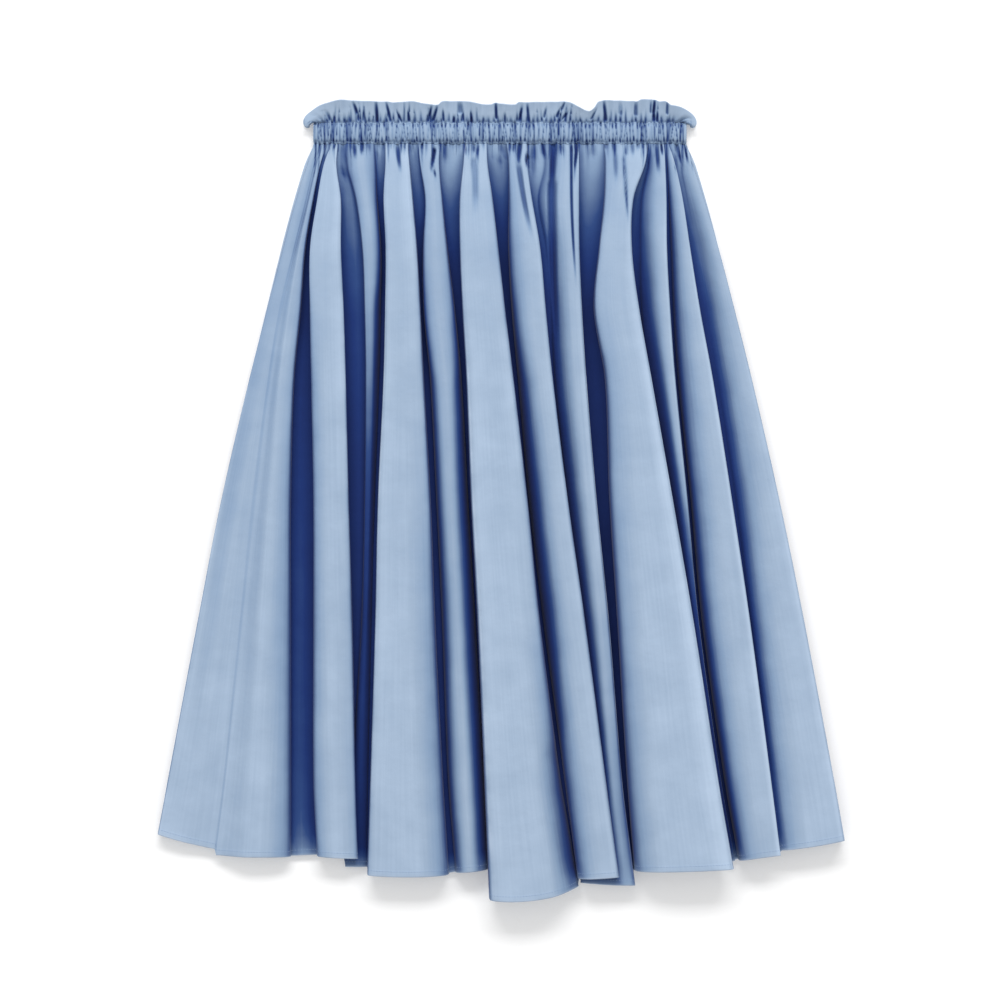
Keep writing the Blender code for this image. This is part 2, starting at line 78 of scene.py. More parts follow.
# The front folds from left to right. left and right are the places of a fold's edges at
# EDGE_DROPS. crown is its height, and dip is how far the valley on its right goes down, at
# CROWN_DROPS. soft_left and soft_right tell at SOFT_DROPS how a side turns down: 0 is a crisp
# edge, 1 is round and 2 is a long slope. tucks is how far the left and right foot lie in under
# their edges, and how much further the right one does at the hem. crest is where the fold is
# highest as a share of its width, hem is the drop of the hem at its left edge, middle and right
# edge, and points is how many points go up each side and across the valley on its right.
Fold = namedtuple(
    "Fold", "name left right crown dip soft_left soft_right tucks crest hem points")
FRONT_FOLDS = (
    Fold("left_outer",
         (-168, -174, -184, -196, -210, -226, -251, -272, -299, -311),
         (-162, -168, -175, -186, -199, -209, -223, -234, -249, -257),
         (1, 2, 4, 6, 8, 8), (0, 0, 0, 0, 0.05, 0.4),
         (0.2, 0.15, 0.1, 0.1, 0.1), (1.6, 1.8, 2, 2, 2),
         (0, 0, 0), 0.3, (622, 629.5, 635.5), (15, 2)),
    Fold("left_inner",
         (-160, -166, -173, -184, -196, -206, -219, -231, -247, -255),
         (-156, -162, -168, -175, -179, -185, -188, -188, -188, -188),
         (1, 3, 6, 9, 13, 14), (0.5, 0.6, 0.9, 1, 1, 1),
         (1.5, 1.7, 2, 2, 2), (0.2, 0.3, 0.4, 0.8, 0.9),
         (0, 3.5, 0), 0.42, (641, 642, 642), (17, 4)),
    Fold("first",
         (-152, -159, -164.5, -171, -171, -170, -168, -168, -168, -165),
         (-146, -147, -142.5, -142, -139.5, -137.5, -135, -132, -129, -127),
         (2, 6, 12, 16, 18, 16), (0.5, 0.6, 0.6, 0.65, 0.9, 1),
         (0.1, 0.1, 0.6, 0.8, 0.8), (0.1, 0.1, 0.1, 0.35, 0.4),
         (3.5, 10, 8), 0.45, (641, 642.5, 643), (17, 3)),
    Fold("first_low",
         (-140, -138, -130, -124, -122, -121, -122, -125, -134, -139),
         (-114, -112, -110.5, -107, -107.5, -109, -113, -116, -119, -120),
         (2, 5, 8, 10.5, 6, 3), (0.8, 0.9, 1, 1, 1, 1),
         (1, 0.3, 0.5, 1, 1), (0.8, 0.8, 1.3, 1.4, 1),
         (0, 0, 0), 0.5, (652, 652, 652), (13, 5)),
    Fold("second",
         (-103.5, -103.6, -105, -103, -103.5, -105, -110, -112.5, -117, -119),
         (-83, -81, -78, -74, -71, -68, -62, -58, -51, -47),
         (2, 8, 14, 19, 22, 20), (0.8, 0.9, 0.9, 0.9, 0.9, 0.95),
         (0.1, 0.05, 0, 0.05, 0.15), (0.1, 0.1, 0.2, 0.6, 0.8),
         (3.5, 3.5, 0), 0.42, (657.5, 659, 657.5), (17, 4)),
    Fold("second_low",
         (-74, -72, -67.6, -69.5, -68.9, -63, -57.5, -52.5, -47, -42),
         (-54, -54.5, -51.7, -47, -40.5, -34.5, -28.5, -22, -14, -11),
         (2, 5, 9, 13, 15, 16), (0.8, 1, 1, 1, 1, 1),
         (0.3, 0.3, 0.95, 1, 1), (0.3, 0.3, 0.95, 1, 1),
         (2, 0, 0), 0.5, (656.5, 655, 653.5), (15, 8)),
    Fold("centre",
         (-32, -33.5, -36.6, -36.5, -34.2, -30.6, -26.5, -20.7, -14.6, -12),
         (-12, -10.8, -6.3, -1, 5, 12.6, 25, 36, 55, 67),
         (2, 8, 15, 21, 28, 28), (0.9, 1, 1, 1, 1, 1),
         (0.1, 0.1, 0, 0, 0.05), (0.2, 0.3, 0.1, 0.35, 1.5),
         (3.5, 3.5, 0), 0.65, (679, 678.5, 668), (18, 7)),
    Fold("centre_right",
         (6, 7.5, 7.8, 7.5, 10.5, 16, 25.5, 38.5, 58, 66),
         (25, 25, 29, 36.5, 41.4, 47.7, 61.2, 76.5, 95.4, 104),
         (2, 8, 14, 19, 20, 20), (0.6, 0.6, 0.55, 0.55, 0.9, 1),
         (0.4, 0.8, 1, 1, 0.9), (0.2, 0.15, 0.15, 0.15, 0.15),
         (0, 10, 24), 0.7, (661, 660.5, 659), (17, 6)),
    Fold("third_low",
         (38, 40.5, 34.5, 42, 46, 49, 60, 72, 82, 73),
         (71, 71.5, 71.5, 71.8, 74, 78, 87, 98, 110, 118),
         (2, 6, 11, 15, 18, 13), (0.6, 0.8, 0.85, 0.85, 1, 1),
         (1.2, 1.6, 1.6, 1.5, 1.5), (0.2, 0.2, 0, 0, 0.2),
         (0, 3.5, 0), 0.72, (666, 667, 667.5), (16, 8)),
    Fold("wide",
         (94, 94.3, 93.3, 88.5, 84, 94, 98, 105, 114, 119),
         (134, 130.5, 120, 118.5, 125, 136, 155, 173.5, 196, 207),
         (2, 9, 15, 20, 29, 29), (0.7, 0.75, 0.75, 0.75, 0.9, 0.9),
         (0.4, 0.1, 0.5, 0.6, 0.9), (0.2, 0.1, 0, 0, 0),
         (2, 10, 0), 0.7, (654, 653, 651), (20, 2)),
    Fold("fourth_low",
         (136, 133.5, 127, 126, 127, 133, 148, 164, 189, 203),
         (148, 149, 150, 150.2, 153, 157.5, 168.3, 178.5, 199, 210),
         (2, 5, 9, 14, 18, 5), (0.8, 0.7, 0.7, 0.8, 0.85, 0.85),
         (1, 1.5, 1.6, 1.6, 1.6), (0.2, 0.1, 0.1, 0.1, 0.2),
         (0, 3.5, 0), 0.78, (648, 647, 646), (15, 2)),
    Fold("fourth",
         (150, 150.5, 152, 154, 156, 160, 171.5, 181.5, 202, 213),
         (152, 158, 164.5, 171, 179.5, 191, 208, 224, 243, 251),
         (2, 5, 9, 14, 20, 20), (0.7, 0.7, 0.7, 0.7, 0.5, 0.1),
         (1, 1.1, 1, 0.9, 0.8), (0.2, 0.1, 0, 0, 0),
         (0, 3.5, 0), 0.85, (645, 642, 639.5), (16, 4)),
    Fold("right_outer",
         (161, 163, 169, 178, 186, 196, 212, 225, 245, 253),
         (168, 174, 184, 197, 211, 226.5, 251, 273, 300, 311),
         (1, 3, 5, 8, 14, 18), (0, 0, 0, 0, 0, 0),
         (1.6, 2, 1.8, 1.2, 1), (0.2, 0.2, 0.1, 0.05, 0.05),
         (0, 0, 0), 0.84, (635.5, 632, 626.5), (17, 0)),
)
# The exponents of a crisp and a round side, the heights of the points of its wall as shares of
# its height, how its other points crowd at its edge, below which share of its height it tucks
# in, and the least height of a fold
CRISP = 8.0
ROUND = 2.0
WALL_HEIGHTS = (0.0, 0.2, 0.4)
EDGE_CROWDING = 1.2
TUCK_TOP = 0.6
LEAST_CROWN = 0.2
# Where the tucks start below the waist, how soon they are full, for which height of fold, and
# the most that a foot tucks in as a share of the fold's width
TUCKS_START = 30.0
TUCKS_GROW = 60.0
HEM_TUCKS_START = 480.0
HEM_TUCKS_GROW = 150.0
FULL_TUCK_HEIGHT = 15.0
MOST_TUCK = 0.3
# The least width of a valley's floor, how high it may lie as a share of the lower fold beside
# it, and how far it sags
VALLEY_FOOT = 2.0
VALLEY_FLOOR = 0.9
VALLEY_SAG = 0.3
# Painted highlight: how strongly a crisp edge is painted as catching the light at its fifth and
# sixth point, and how soon it isn't as it gets softer
RIM_STARTS = 4
RIM_WEIGHTS = (1.0, 0.35)
RIM_FADE = 1.6
# Painted light and shade on the front's folds: how light the middle of a fold is painted, how much
# lighter a crisp left or right edge and darker a soft one is painted, how soon that comes and goes
# with softness, how far in from the edge it reaches, and how light a valley's floor is painted
LEVEL = 0.91
LEFT_GLOW = 0.05
RIGHT_GLOW = 0.13
GLOW_FADE = 2.0
FALL = 0.22
FALL_GROW = 1.5
FALL_FADE = 0.8
LONG_SLOPE = 2.0
SHADE_REACH = 27.0
FLOOR_LEVEL = 0.85

# Slits and troughs pressed into the front, sharp and soft: place and drop of both ends, how far
# the middle bows towards +X, half width and depth
Slit = namedtuple("Slit", "x0 d0 x1 d1 bow half depth kind")
SHARP_SLITS = (
    (-170.5, 3, -182.5, 42, -1, 1.3, 3.5), (-147.6, -2, -150.4, 6, 0, 1.6, 2.5),
    (-142.1, -3, -138.5, 62, -1, 2.2, 5.0), (-131.8, -2, -130.2, 16, 0, 2.4, 4.0),
    (-128.4, -3, -128, 5, 0, 1.6, 2.4), (-119.4, -3, -119.4, 5, 0, 1.6, 2.4),
    (-109.8, -3, -109, 7, 0, 2.0, 4.0), (-97.5, -3, -99, 6, 0, 1.7, 2.4),
    (-70.0, -2, -71, 7, 0, 1.7, 2.4), (-59.0, 3, -62.8, 25, 0.6, 2.2, 7.0),
    (-62.8, 22, -56.5, 30, 0, 1.6, 5.0), (-41.7, -2, -41.4, 7, 0, 1.7, 2.6),
    (-31.4, -1, -30.5, 14, 0, 2.2, 3.4), (-22.5, -2, -24, 10, 0, 2.0, 3.0),
    (-19.7, 2, -21.2, 15, 0, 2.0, 3.0), (2.5, -2, -1.8, 27, 0.4, 2.0, 4.5),
    (9.6, -2, 8.6, 8, 0, 1.6, 2.6), (12.7, -2, 11.3, 10, 0, 1.7, 3.2),
    (25.8, 8, 25.2, 23, -1.6, 2.4, 7.0), (37.5, -2, 41.0, 16, 0, 2.0, 4.0),
    (64.7, 1, 69.8, 142, -2.4, 1.8, 3.4), (69.9, -2, 66.1, 26, 0.3, 2.0, 4.5),
    (77.8, -2, 76.5, 8, 0, 1.8, 3.0), (84.2, -2, 84.4, 16, 0, 2.0, 3.4),
    (95.7, -2, 95, 8, 0, 1.8, 3.2), (103.3, -2, 103.4, 14, 0, 2.0, 4.0),
    (115.4, -3, 111.3, 16, 0.4, 2.0, 4.5), (111.3, 10, 115.5, 78, -0.4, 1.8, 3.0),
    (125.6, -3, 125, 6, 0, 1.8, 2.6), (145, -3, 146.5, 12, 0, 2.0, 4.0),
    (158.8, -1, 163.5, 20, 0.3, 2.0, 4.5), (165.7, -3, 170.0, 22, 0, 1.5, 3.0),
)
SOFT_SLITS = (
    (-186.0, 38, -283, 610, -8, 14.0, 1.8), (-123.5, -2, -125.2, 12, 0, 2.2, 2.8),
    (-92.5, -2, -88.4, 30, -0.8, 2.6, 3.5), (-49.3, -2, -50, 18, 0, 2.4, 3.4),
    (-23.8, 12, -23.4, 72, 1.5, 4.5, 2.2), (17.9, -2, 16.6, 24, -0.4, 2.8, 5.0),
    (16.6, 18, 31.0, 95, -1.5, 3.6, 2.8), (31.0, -2, 28.9, 34, 0, 2.8, 3.4),
    (48.9, -2, 46.8, 50, -0.6, 4.0, 6.0), (46.8, 34, 51, 190, -1.5, 5.5, 5.0),
    (55.1, -2, 55.1, 14, 0, 2.2, 3.0), (103.6, 8, 104.5, 40, 0, 2.8, 2.0),
    (119.6, -2, 119.6, 14, 0, 2.2, 2.6), (141, -2, 143, 32, 0, 2.8, 2.8),
)
FRONT_SLITS = [Slit(*row, "sharp") for row in SHARP_SLITS]
FRONT_SLITS += [Slit(*row, "soft") for row in SOFT_SLITS]

# How soon a slit starts, at most as a share of its length, how soon it ends, and how much it
# narrows
SLIT_START = 3.0
SLIT_MOST_START = 0.3
SLIT_TAPER = 0.55
SLIT_NARROWS = 0.35

# Slits side by side along a seam, drawn between limits: how far apart, how far they reach, how
# much they lean, their half width and their depth
Puckers = namedtuple("Puckers", "pitches reach slant half depth")
LOW_PUCKERS = Puckers((2.2, 4.2), (4.0, 8.0), 0.8, (0.9, 1.4), (0.8, 1.8))
HIGH_PUCKERS = LOW_PUCKERS._replace(pitches=(2.4, 4.4))
PUCKER_STARTS = (-1.5, 0.5)
PUCKER_BOWS = (-0.4, 0.4)
WAIST_MARGIN = 2.0

# Gathers side by side across the waist, drawn between limits: how far apart their ridges are,
# how deep they lie between them, how far they reach, and how much they lean in 10 mm
Gathers = namedtuple("Gathers", "pitches depths reaches lean")
PANEL_GATHERS = Gathers((3.2, 7.0), (1.2, 3.4), (9.0, 46.0), 0.5)
CASING_GATHERS = Gathers((1.9, 3.9), (0.5, 1.7), (200.0, 200.0), 1.6)
HEADING_GATHERS = Gathers((2.8, 6.2), (1.6, 3.6), (8.0, 24.0), 1.2)
# How much wider than the waist they run, where they start left of it, how seldom long ones
# come, and how round their ridges are
GATHERS_SPARE = 60.0
GATHERS_START = 20.0
SELDOM_LONG = 2.5
RIDGE_ROUND = 0.6
SEEDS = {
    "front_panel": 5, "front_casing": 7, "back_casing": 8, "front_frill": 31, "back_frill": 32,
}

# The heading: its height above the casing at places across
FRILL_TOPS = (
    (-168, 5), (-165.7, 8), (-164.4, 11), (-163, 13.5), (-161.4, 15), (-158.8, 14.5),
    (-156.6, 16), (-153, 18), (-147, 19.5), (-140, 20), (-134, 19.5),
    (-128, 19.5), (-120, 19), (-110, 18.6), (-100, 18.6), (-97, 18), (-90, 18), (-78, 18.5),
    (-66, 16.5), (-56, 15.5), (-52, 18.5), (-45, 19), (-30, 18.8), (-18, 16.5), (-8, 16),
    (-4, 17.5), (0, 16.5), (14, 15.8), (17, 18), (24, 18), (40, 18.2), (50, 18.6), (62, 18),
    (70, 14), (80, 10), (85, 13), (89, 18.5), (105, 19.5), (120, 19), (123, 18.5),
    (128, 20.5), (140, 20), (143, 18.8), (149, 18.5), (153, 15.5), (156.6, 14.5),
    (158.8, 14), (161.4, 14.5), (163, 13.5), (164.4, 11), (165.7, 8), (168, 5),
)
# Creases of the heading, sharp and soft: place at the casing and its height above it, place and
# height higher up, half width and depth. They run on past both heights.
SHARP_CREASES = (
    (-163.5, 2, -164.5, 9, 2.0, 3.0), (-152.5, 2, -156.0, 10, 1.8, 2.4),
    (-127.7, 3, -127.7, 9, 2.4, 3.4), (-127.7, 8, -133.2, 18, 2.6, 3.0),
    (-123.4, 2, -122.8, 10, 1.6, 2.4), (-110.6, 1, -111.8, 20, 2.6, 3.6),
    (-98.0, 1, -103.6, 20, 2.2, 3.2), (-87.7, 1, -94.5, 11, 1.8, 3.0),
    (-82.2, 2, -82.9, 10, 1.6, 2.2), (-65.2, 2, -60.6, 15, 2.2, 3.4),
    (-61.0, 2, -55.3, 15, 2.2, 3.4), (-50.7, 2, -51.6, 11, 1.8, 2.6),
    (-42.4, 0, -40.2, 6, 1.6, 2.4), (-32.9, 0, -33.6, 10, 1.8, 3.0),
    (-25.2, 1, -26.8, 9, 1.7, 2.4), (-3.2, 4, -3.9, 19, 1.9, 3.4), (4.4, 0, 4.4, 8, 1.7, 2.8),
    (16.8, 1, 20.6, 15, 2.1, 3.4), (26.0, 2, 24.2, 18, 1.9, 3.0), (39.3, 5, 42.2, 13, 2.0, 2.2),
    (50.3, 5, 55.0, 12, 2.0, 2.8), (55.0, 12, 59.5, 18, 2.0, 2.4), (54.4, 3, 63.5, 10, 2.0, 2.4),
    (81.6, 4, 88.0, 11, 2.2, 2.4), (95.6, 3, 93.0, 20, 2.4, 3.6), (139.4, 2, 138.2, 10, 2.2, 3.8),
    (138.2, 9, 139.5, 20, 2.2, 3.6), (135.6, 9, 136.0, 20, 1.4, 1.8),
    (141.6, 1, 142.3, 10, 1.5, 2.2), (150.5, 8, 150.5, 20, 2.2, 2.4),
    (160.5, 2, 161.5, 10, 2.0, 3.0),
)
SOFT_CREASES = (
    (-35.5, 9, -36.5, 19, 4.0, 2.4), (108.5, 8, 108.5, 18, 3.0, 1.4),
    (122.3, 7, 122.3, 19, 2.8, 2.2),
)
CREASE_BELOW = 2.0
CREASE_ABOVE = 3.0
FRILL_CREASES = [
    Slit(x0, low - CREASE_BELOW, x1, high + CREASE_ABOVE, 0.0, half, depth, kind)
    for kind, creases in (("sharp", SHARP_CREASES), ("soft", SOFT_CREASES))
    for x0, low, x1, high, half, depth in creases]

# The creases of the back panel: place at the hem as a share of its width, how far up they
# reach as a drop, half width and height
BACK_CREASES = (
    (0.06, 60, 5, 1.4), (0.14, 20, 8, 2.4), (0.23, 0, 6, 2.0), (0.30, 120, 9, 2.5),
    (0.38, 10, 6, 1.6), (0.47, 0, 9, 2.5), (0.55, 80, 7, 2.2), (0.63, 200, 5, 1.5),
    (0.70, 0, 9, 2.5), (0.79, 40, 7, 2.0), (0.87, 0, 8, 2.4), (0.95, 150, 5, 1.4),
)
SIDE_SEAM_DROPS = (0, 20, 96, 321, 573, 640)
SIDE_SEAM = (168, 177, 198, 251, 300, 311)
BACK_HEM_SIDE = 622.0
BACK_HEM_BELLY = 20.0
# How wide a back crease is at the waist as a share of its width at the hem, how soon it rises,
# how flat its top is, and the puckers under the casing: their number, height and reach
BACK_CREASE_TOP = 0.35
BACK_CREASE_RISE = 60.0
BACK_CREASE_FLAT = 1.4
BACK_PUCKERS = 46.0
BACK_PUCKER_HEIGHT = 1.1
BACK_PUCKER_FADE = 24.0
BACK_PUCKER_END = 60.0

# The grids of points that the cloth is made from
PANEL_ROWS = 80
PANEL_CROWDING = 1.45
HEM_DEPTH = 6.5
HEM_RISE = 0.35
HEM_ROWS = (6.5, 5.6, 4.8, 2.5, 0.9, 0.0)
HEM_RISES = (0.0, 0.1, 1.0, 1.0, 0.8, 0.2)
# The painted highlight on the hem's folded edge, row by row
HEM_RIMS = (0.0, 0.0, 0.0, 0.0, 0.5, 1.0)
BACK_ROWS = 60
BACK_COLUMNS = 300
BACK_CROWDING = 1.3
CASING_COLUMNS = 640
CASING_ROWS = 26
FRILL_COLUMNS = 560
FRILL_ROWS = 24

# The drops at which the front is worked out before its points are set along it
DROP_STEP = 2.0
DROPS_END = 700.0
# The front's height at rest, how much its waist seam stands above its side seams, in from them
# by which share of its width, and how soon that ends below
FRONT_REST = 4.8
SEAM_RISE = 0.6
SEAM_SIDE = 0.035
SEAM_RISE_FADE = 70.0
# How high the folds start at the waist as a share, how soon they are full, how pressed the
# slits start, how soon the cloth goes slack, and how low the cloth is pressed at most
HEIGHTS_START = 0.4
HEIGHTS_GROW = 14.0
PRESS_START = 0.5
PRESS_GROW = 6.0
SLACK_GROW = 120.0
LOWEST_PRESS = -2.5
# Painted light: how much lighter the front is painted at the waist and near the hem, and how soon
# it gets so
WAIST_GLOW = -0.01
HEM_GLOW = 0.045
HEM_GLOW_GROW = 600.0
# Waves as height, radians in a millimetre and start: of the waist seams, and of the front and
# back heading, and how soon the seam's waves end below it
SEAM_WAVES = ((0.35, 0.9, 0.0), (0.3, 0.37, 1.0), (0.25, 2.1, 2.0))
FRONT_HEADING_WAVES = ((1.1, 0.21, 0.4), (0.7, 0.083, 1.3))
BACK_HEADING_WAVES = ((0.7, 0.43, 2.0),)
SEAM_WAVE_FADE = 12.0

# The casing: its depth, how it puffs up between its seams, its height at rest, the grooves that
# its stitching draws in, and how much flatter the back half is
CASING_DEPTH = 19.0
PUFF = 2.6
PUFF_ROUND = 0.6
CASING_REST = 0.8
GROOVE_HALF = 0.9
GROOVE_DEPTH = 0.9
BACK_CASING_REST = 1.4
BACK_PUFF = 0.5
BACK_GATHERS_SHARE = 0.45
# The ends of the heading that turn over: how wide, how far they turn and by which share of that
# at the casing, how far they stand off, how they puff up, and how much less they are pressed
EAR_WIDTH = 15.0
EAR_TURN = math.radians(135.0)
EAR_TURN_START = 0.72
EAR_CLEARANCE = 0.8
EAR_PUFF = 2.6
EAR_PRESS = 0.5
# The heading's height at rest and how it lifts to its edge, at the front and the back
FRILL_REST = 1.4
FRILL_LIFT = 5.0
FRILL_LIFT_ROUND = 1.3
BACK_FRILL_REST = 2.2
BACK_FRILL_LIFT = 0.6
BACK_FRILL_SHARE = 0.4
# How far in from the casing's edges its stitching is, how soon pieces part at a seam, and how
# far and how long one laps over the next
STITCH_IN = 1.6
SEAM_BLEND = 2.5
SEAM_LAP = 0.35
SEAM_LAP_FADE = 3.0
SEAM_OVER = 0.1
# How far thread stands out of the cloth, and which of the hem's rows is sewn
THREAD_PROUD = 0.1
HEM_STITCH_ROW = 2
# Painted shade: how light the casing and the heading are painted, and how much painted shade a
# press adds for each millimetre
CASING_LEVEL = 0.86
FRILL_LEVEL = 0.95
PRESS_SHADE = 0.055
CASING_PRESS_SHARE = 0.3
# Painted shade and highlight: how light the heading is painted at the casing, how soon that ends,
# and the painted highlight on its edge
FRILL_FOOT_LEVEL = 0.84
FRILL_FOOT_REACH = 9.0
FRILL_RIM = 0.6
# How much higher cloth is that hides the sky, the slope beside a point above which cloth puts it
# deep down, the depth whose painted shade is darkest, and how dark that painted shade is
LEAST_STEP = 0.05
DEPTH_SLOPE = 0.5
FULL_DEPTH = 13.0
DEPTH_SHADE = 0.7
# Painted light: how far light is painted coming in at the hem, how open the cloth is painted there
# at least, and how soon that ends; how open a crisp edge is painted at least; and where painted
# shade by depth starts below the waist
HEM_LIGHT = 22.0
HEM_EDGE = 1.0
HEM_OPEN = 0.6
HEM_OPEN_FADE = 24.0
RIM_OPEN = 0.95
WAIST_LIGHT = 12.0
WAIST_LIGHT_FADE = 150.0

# Painted shade: poplin's colour is painted from its open colour to a deep blue where light comes
# only off other cloth. Each row gives the light that reaches it, as a share of the open sky's, and
# the painted colour there
DEPTHS = (
    (0.0, "inmost"), (0.22, "deep"), (0.4, "shaded"), (0.58, "half_lit"),
    (0.76, "dull"), (0.91, "plain"), (1.05, "bright"),
)
# The fine gathers on both sides of the casing: their pitch, how far they reach below and above it,
# how much painted shade they put into the cloth's colour, how deep they are, and how wide they are
# and grow as shares of the noise that they are cut from
FINE_PITCH = 4.2 * MM
FINE_LENGTH = 60.0 * MM
FINE_BELOW = 58.0 * MM
FINE_ABOVE = 15.0 * MM
FINE_SHADE = 0.26
FINE_DEPTH = 1.0 * MM
FINE_LEAST = 0.19
FINE_GROW = 0.31
FINE_SOFT = 0.2
# How fine the cloth's mottle, its crumples and, across and along it, its slubs are; how much
# lighter mottle and slubs make it; and how much darker it is for all that
MOTTLE_FINE = 34.0
CRUMPLE_FINE = 75.0
SLUB_FINE = (420.0, 9.0, 1.0)
MOTTLE_LIGHT = 0.12
SLUB_LIGHT = 0.08
EVEN_DARK = 0.05
# How far apart the ribs of the weave are drawn. Real poplin has a thread each 0.2 mm.
WEAVE = 0.8 * MM

# The studio: the ground, the sky and the softbox in metres, watts and degrees, and the camera
GROUND_SIZE = 8.0
GROUND_WHITE = 0.85
GROUND_GLOW = 0.17
SKY_STRENGTH = 0.72
SOFTBOX_SIZE = (3.8, 1.1)
SOFTBOX_POWER = 145.0
SOFTBOX_PLACE = (0.0, 3.24, 2.97)
SOFTBOX_TILT = math.radians(-47.5)
CAMERA_LENS = 100.0
CAMERA_FILM = 36.0
CAMERA_PLACE = (0.0, -0.0009, 2.51)
WHITE = (1.0, 1.0, 1.0, 1.0)


def smooth(value):
    """Ease from 0 to 1."""
    value = np.clip(value, 0.0, 1.0)
    return value * value * (3.0 - 2.0 * value)


def mix(first, second, share):
    """Go from first to second by a share."""
    return first + (second - first) * share


def through(places, values, place):
    """Read a smooth curve through values at rising places, straight past its ends."""
    places = np.array(places, float)
    values = np.array(values, float)
    place = np.asarray(place, float)
    last = len(places) - 1
    before = np.maximum(np.arange(last + 1) - 1, 0)
    after = np.minimum(np.arange(last + 1) + 1, last)
    slopes = (values[after] - values[before]) / (places[after] - places[before])
    index = np.clip(np.searchsorted(places, place, side="right") - 1, 0, last - 1)
    span = places[index + 1] - places[index]
    t = np.clip((place - places[index]) / span, 0.0, 1.0)
    curve = (2 * t ** 3 - 3 * t ** 2 + 1) * values[index]
    curve += (t ** 3 - 2 * t ** 2 + t) * span * slopes[index]
    curve += (3 * t ** 2 - 2 * t ** 3) * values[index + 1]
    curve += (t ** 3 - t ** 2) * span * slopes[index + 1]
    curve += np.minimum(place - places[0], 0.0) * slopes[0]
    curve += np.maximum(place - places[-1], 0.0) * slopes[-1]
    return curve


def fold_side(width, floor, crown, softness, tuck, count, glow):
    """Give one side of a fold from its foot to its crest, at each drop.

    It gives how far in from the edge its points lie, their heights, how much painted highlight
    they get and how light they are painted, as painted light and shade. The side is a quarter of a
    superellipse, which goes over into a slope.
    """
    power = mix(CRISP, ROUND, np.clip(softness, 0.0, 1.0) ** 3)[:, None]
    wall = np.array(WALL_HEIGHTS)[None, :]
    wall_in = 1.0 - (1.0 - wall ** power) ** (1.0 / power)
    steps = ((np.arange(count) + 1.0) / count)[None, :] ** EDGE_CROWDING
    inward = np.hstack((wall_in, mix(wall_in[:, -1:], 1.0, steps)))
    height = (1.0 - (1.0 - inward) ** power) ** (1.0 / power)
    slope = np.clip(softness - 1.0, 0.0, 1.0)[:, None]
    height = mix(height, smooth(inward), slope)
    tucked = tuck[:, None] * np.clip(1.0 - height / TUCK_TOP, 0.0, 1.0) ** 2
    # Painted highlight on crisp edges, and painted light and shade reaching in from each edge
    rim = np.zeros_like(height)
    crisp = np.clip(1.0 - RIM_FADE * softness, 0.0, 1.0) ** 2
    for index, weight in enumerate(RIM_WEIGHTS):
        rim[:, RIM_STARTS + index] = weight * crisp
    near = 1.0 - smooth(inward * width[:, None] / np.minimum(SHADE_REACH, width)[:, None])
    lighter = glow * np.clip(1.0 - GLOW_FADE * softness, 0.0, 1.0)
    darker = FALL * np.clip(FALL_GROW * softness, 0.0, 1.0)
    darker = darker * np.clip((LONG_SLOPE - softness) / FALL_FADE, 0.0, 1.0)
    level = LEVEL + (lighter - darker)[:, None] * near
    z = mix(floor[:, None], crown[:, None], height)
    return inward * width[:, None] + tucked, z, rim, level


def fold_feet(lefts, rights, crowns, softs, drops):
    """Give the places of both feet of each fold, kept in order across the valleys."""
    grow = smooth((drops - TUCKS_START) / TUCKS_GROW)
    feet = []
    for index, fold in enumerate(FRONT_FOLDS):
        most = MOST_TUCK * (rights[index] - lefts[index])
        full = grow * smooth(crowns[index] / FULL_TUCK_HEIGHT)
        tucks = [np.minimum(tuck * full * np.clip(1.0 - soft, 0.0, 1.0), most)
                 for tuck, soft in zip(fold.tucks[:2], softs[index])]
        tucks[1] = tucks[1] + fold.tucks[2] * smooth((drops - HEM_TUCKS_START) / HEM_TUCKS_GROW)
        feet.append([lefts[index] + tucks[0], rights[index] - tucks[1]])
    for first, second in zip(feet, feet[1:]):
        middle = 0.5 * (first[1] + second[0])
        crossed = second[0] - first[1] < VALLEY_FOOT
        first[1] = np.where(crossed, middle - 0.5 * VALLEY_FOOT, first[1])
        second[0] = np.where(crossed, middle + 0.5 * VALLEY_FOOT, second[0])
    return feet


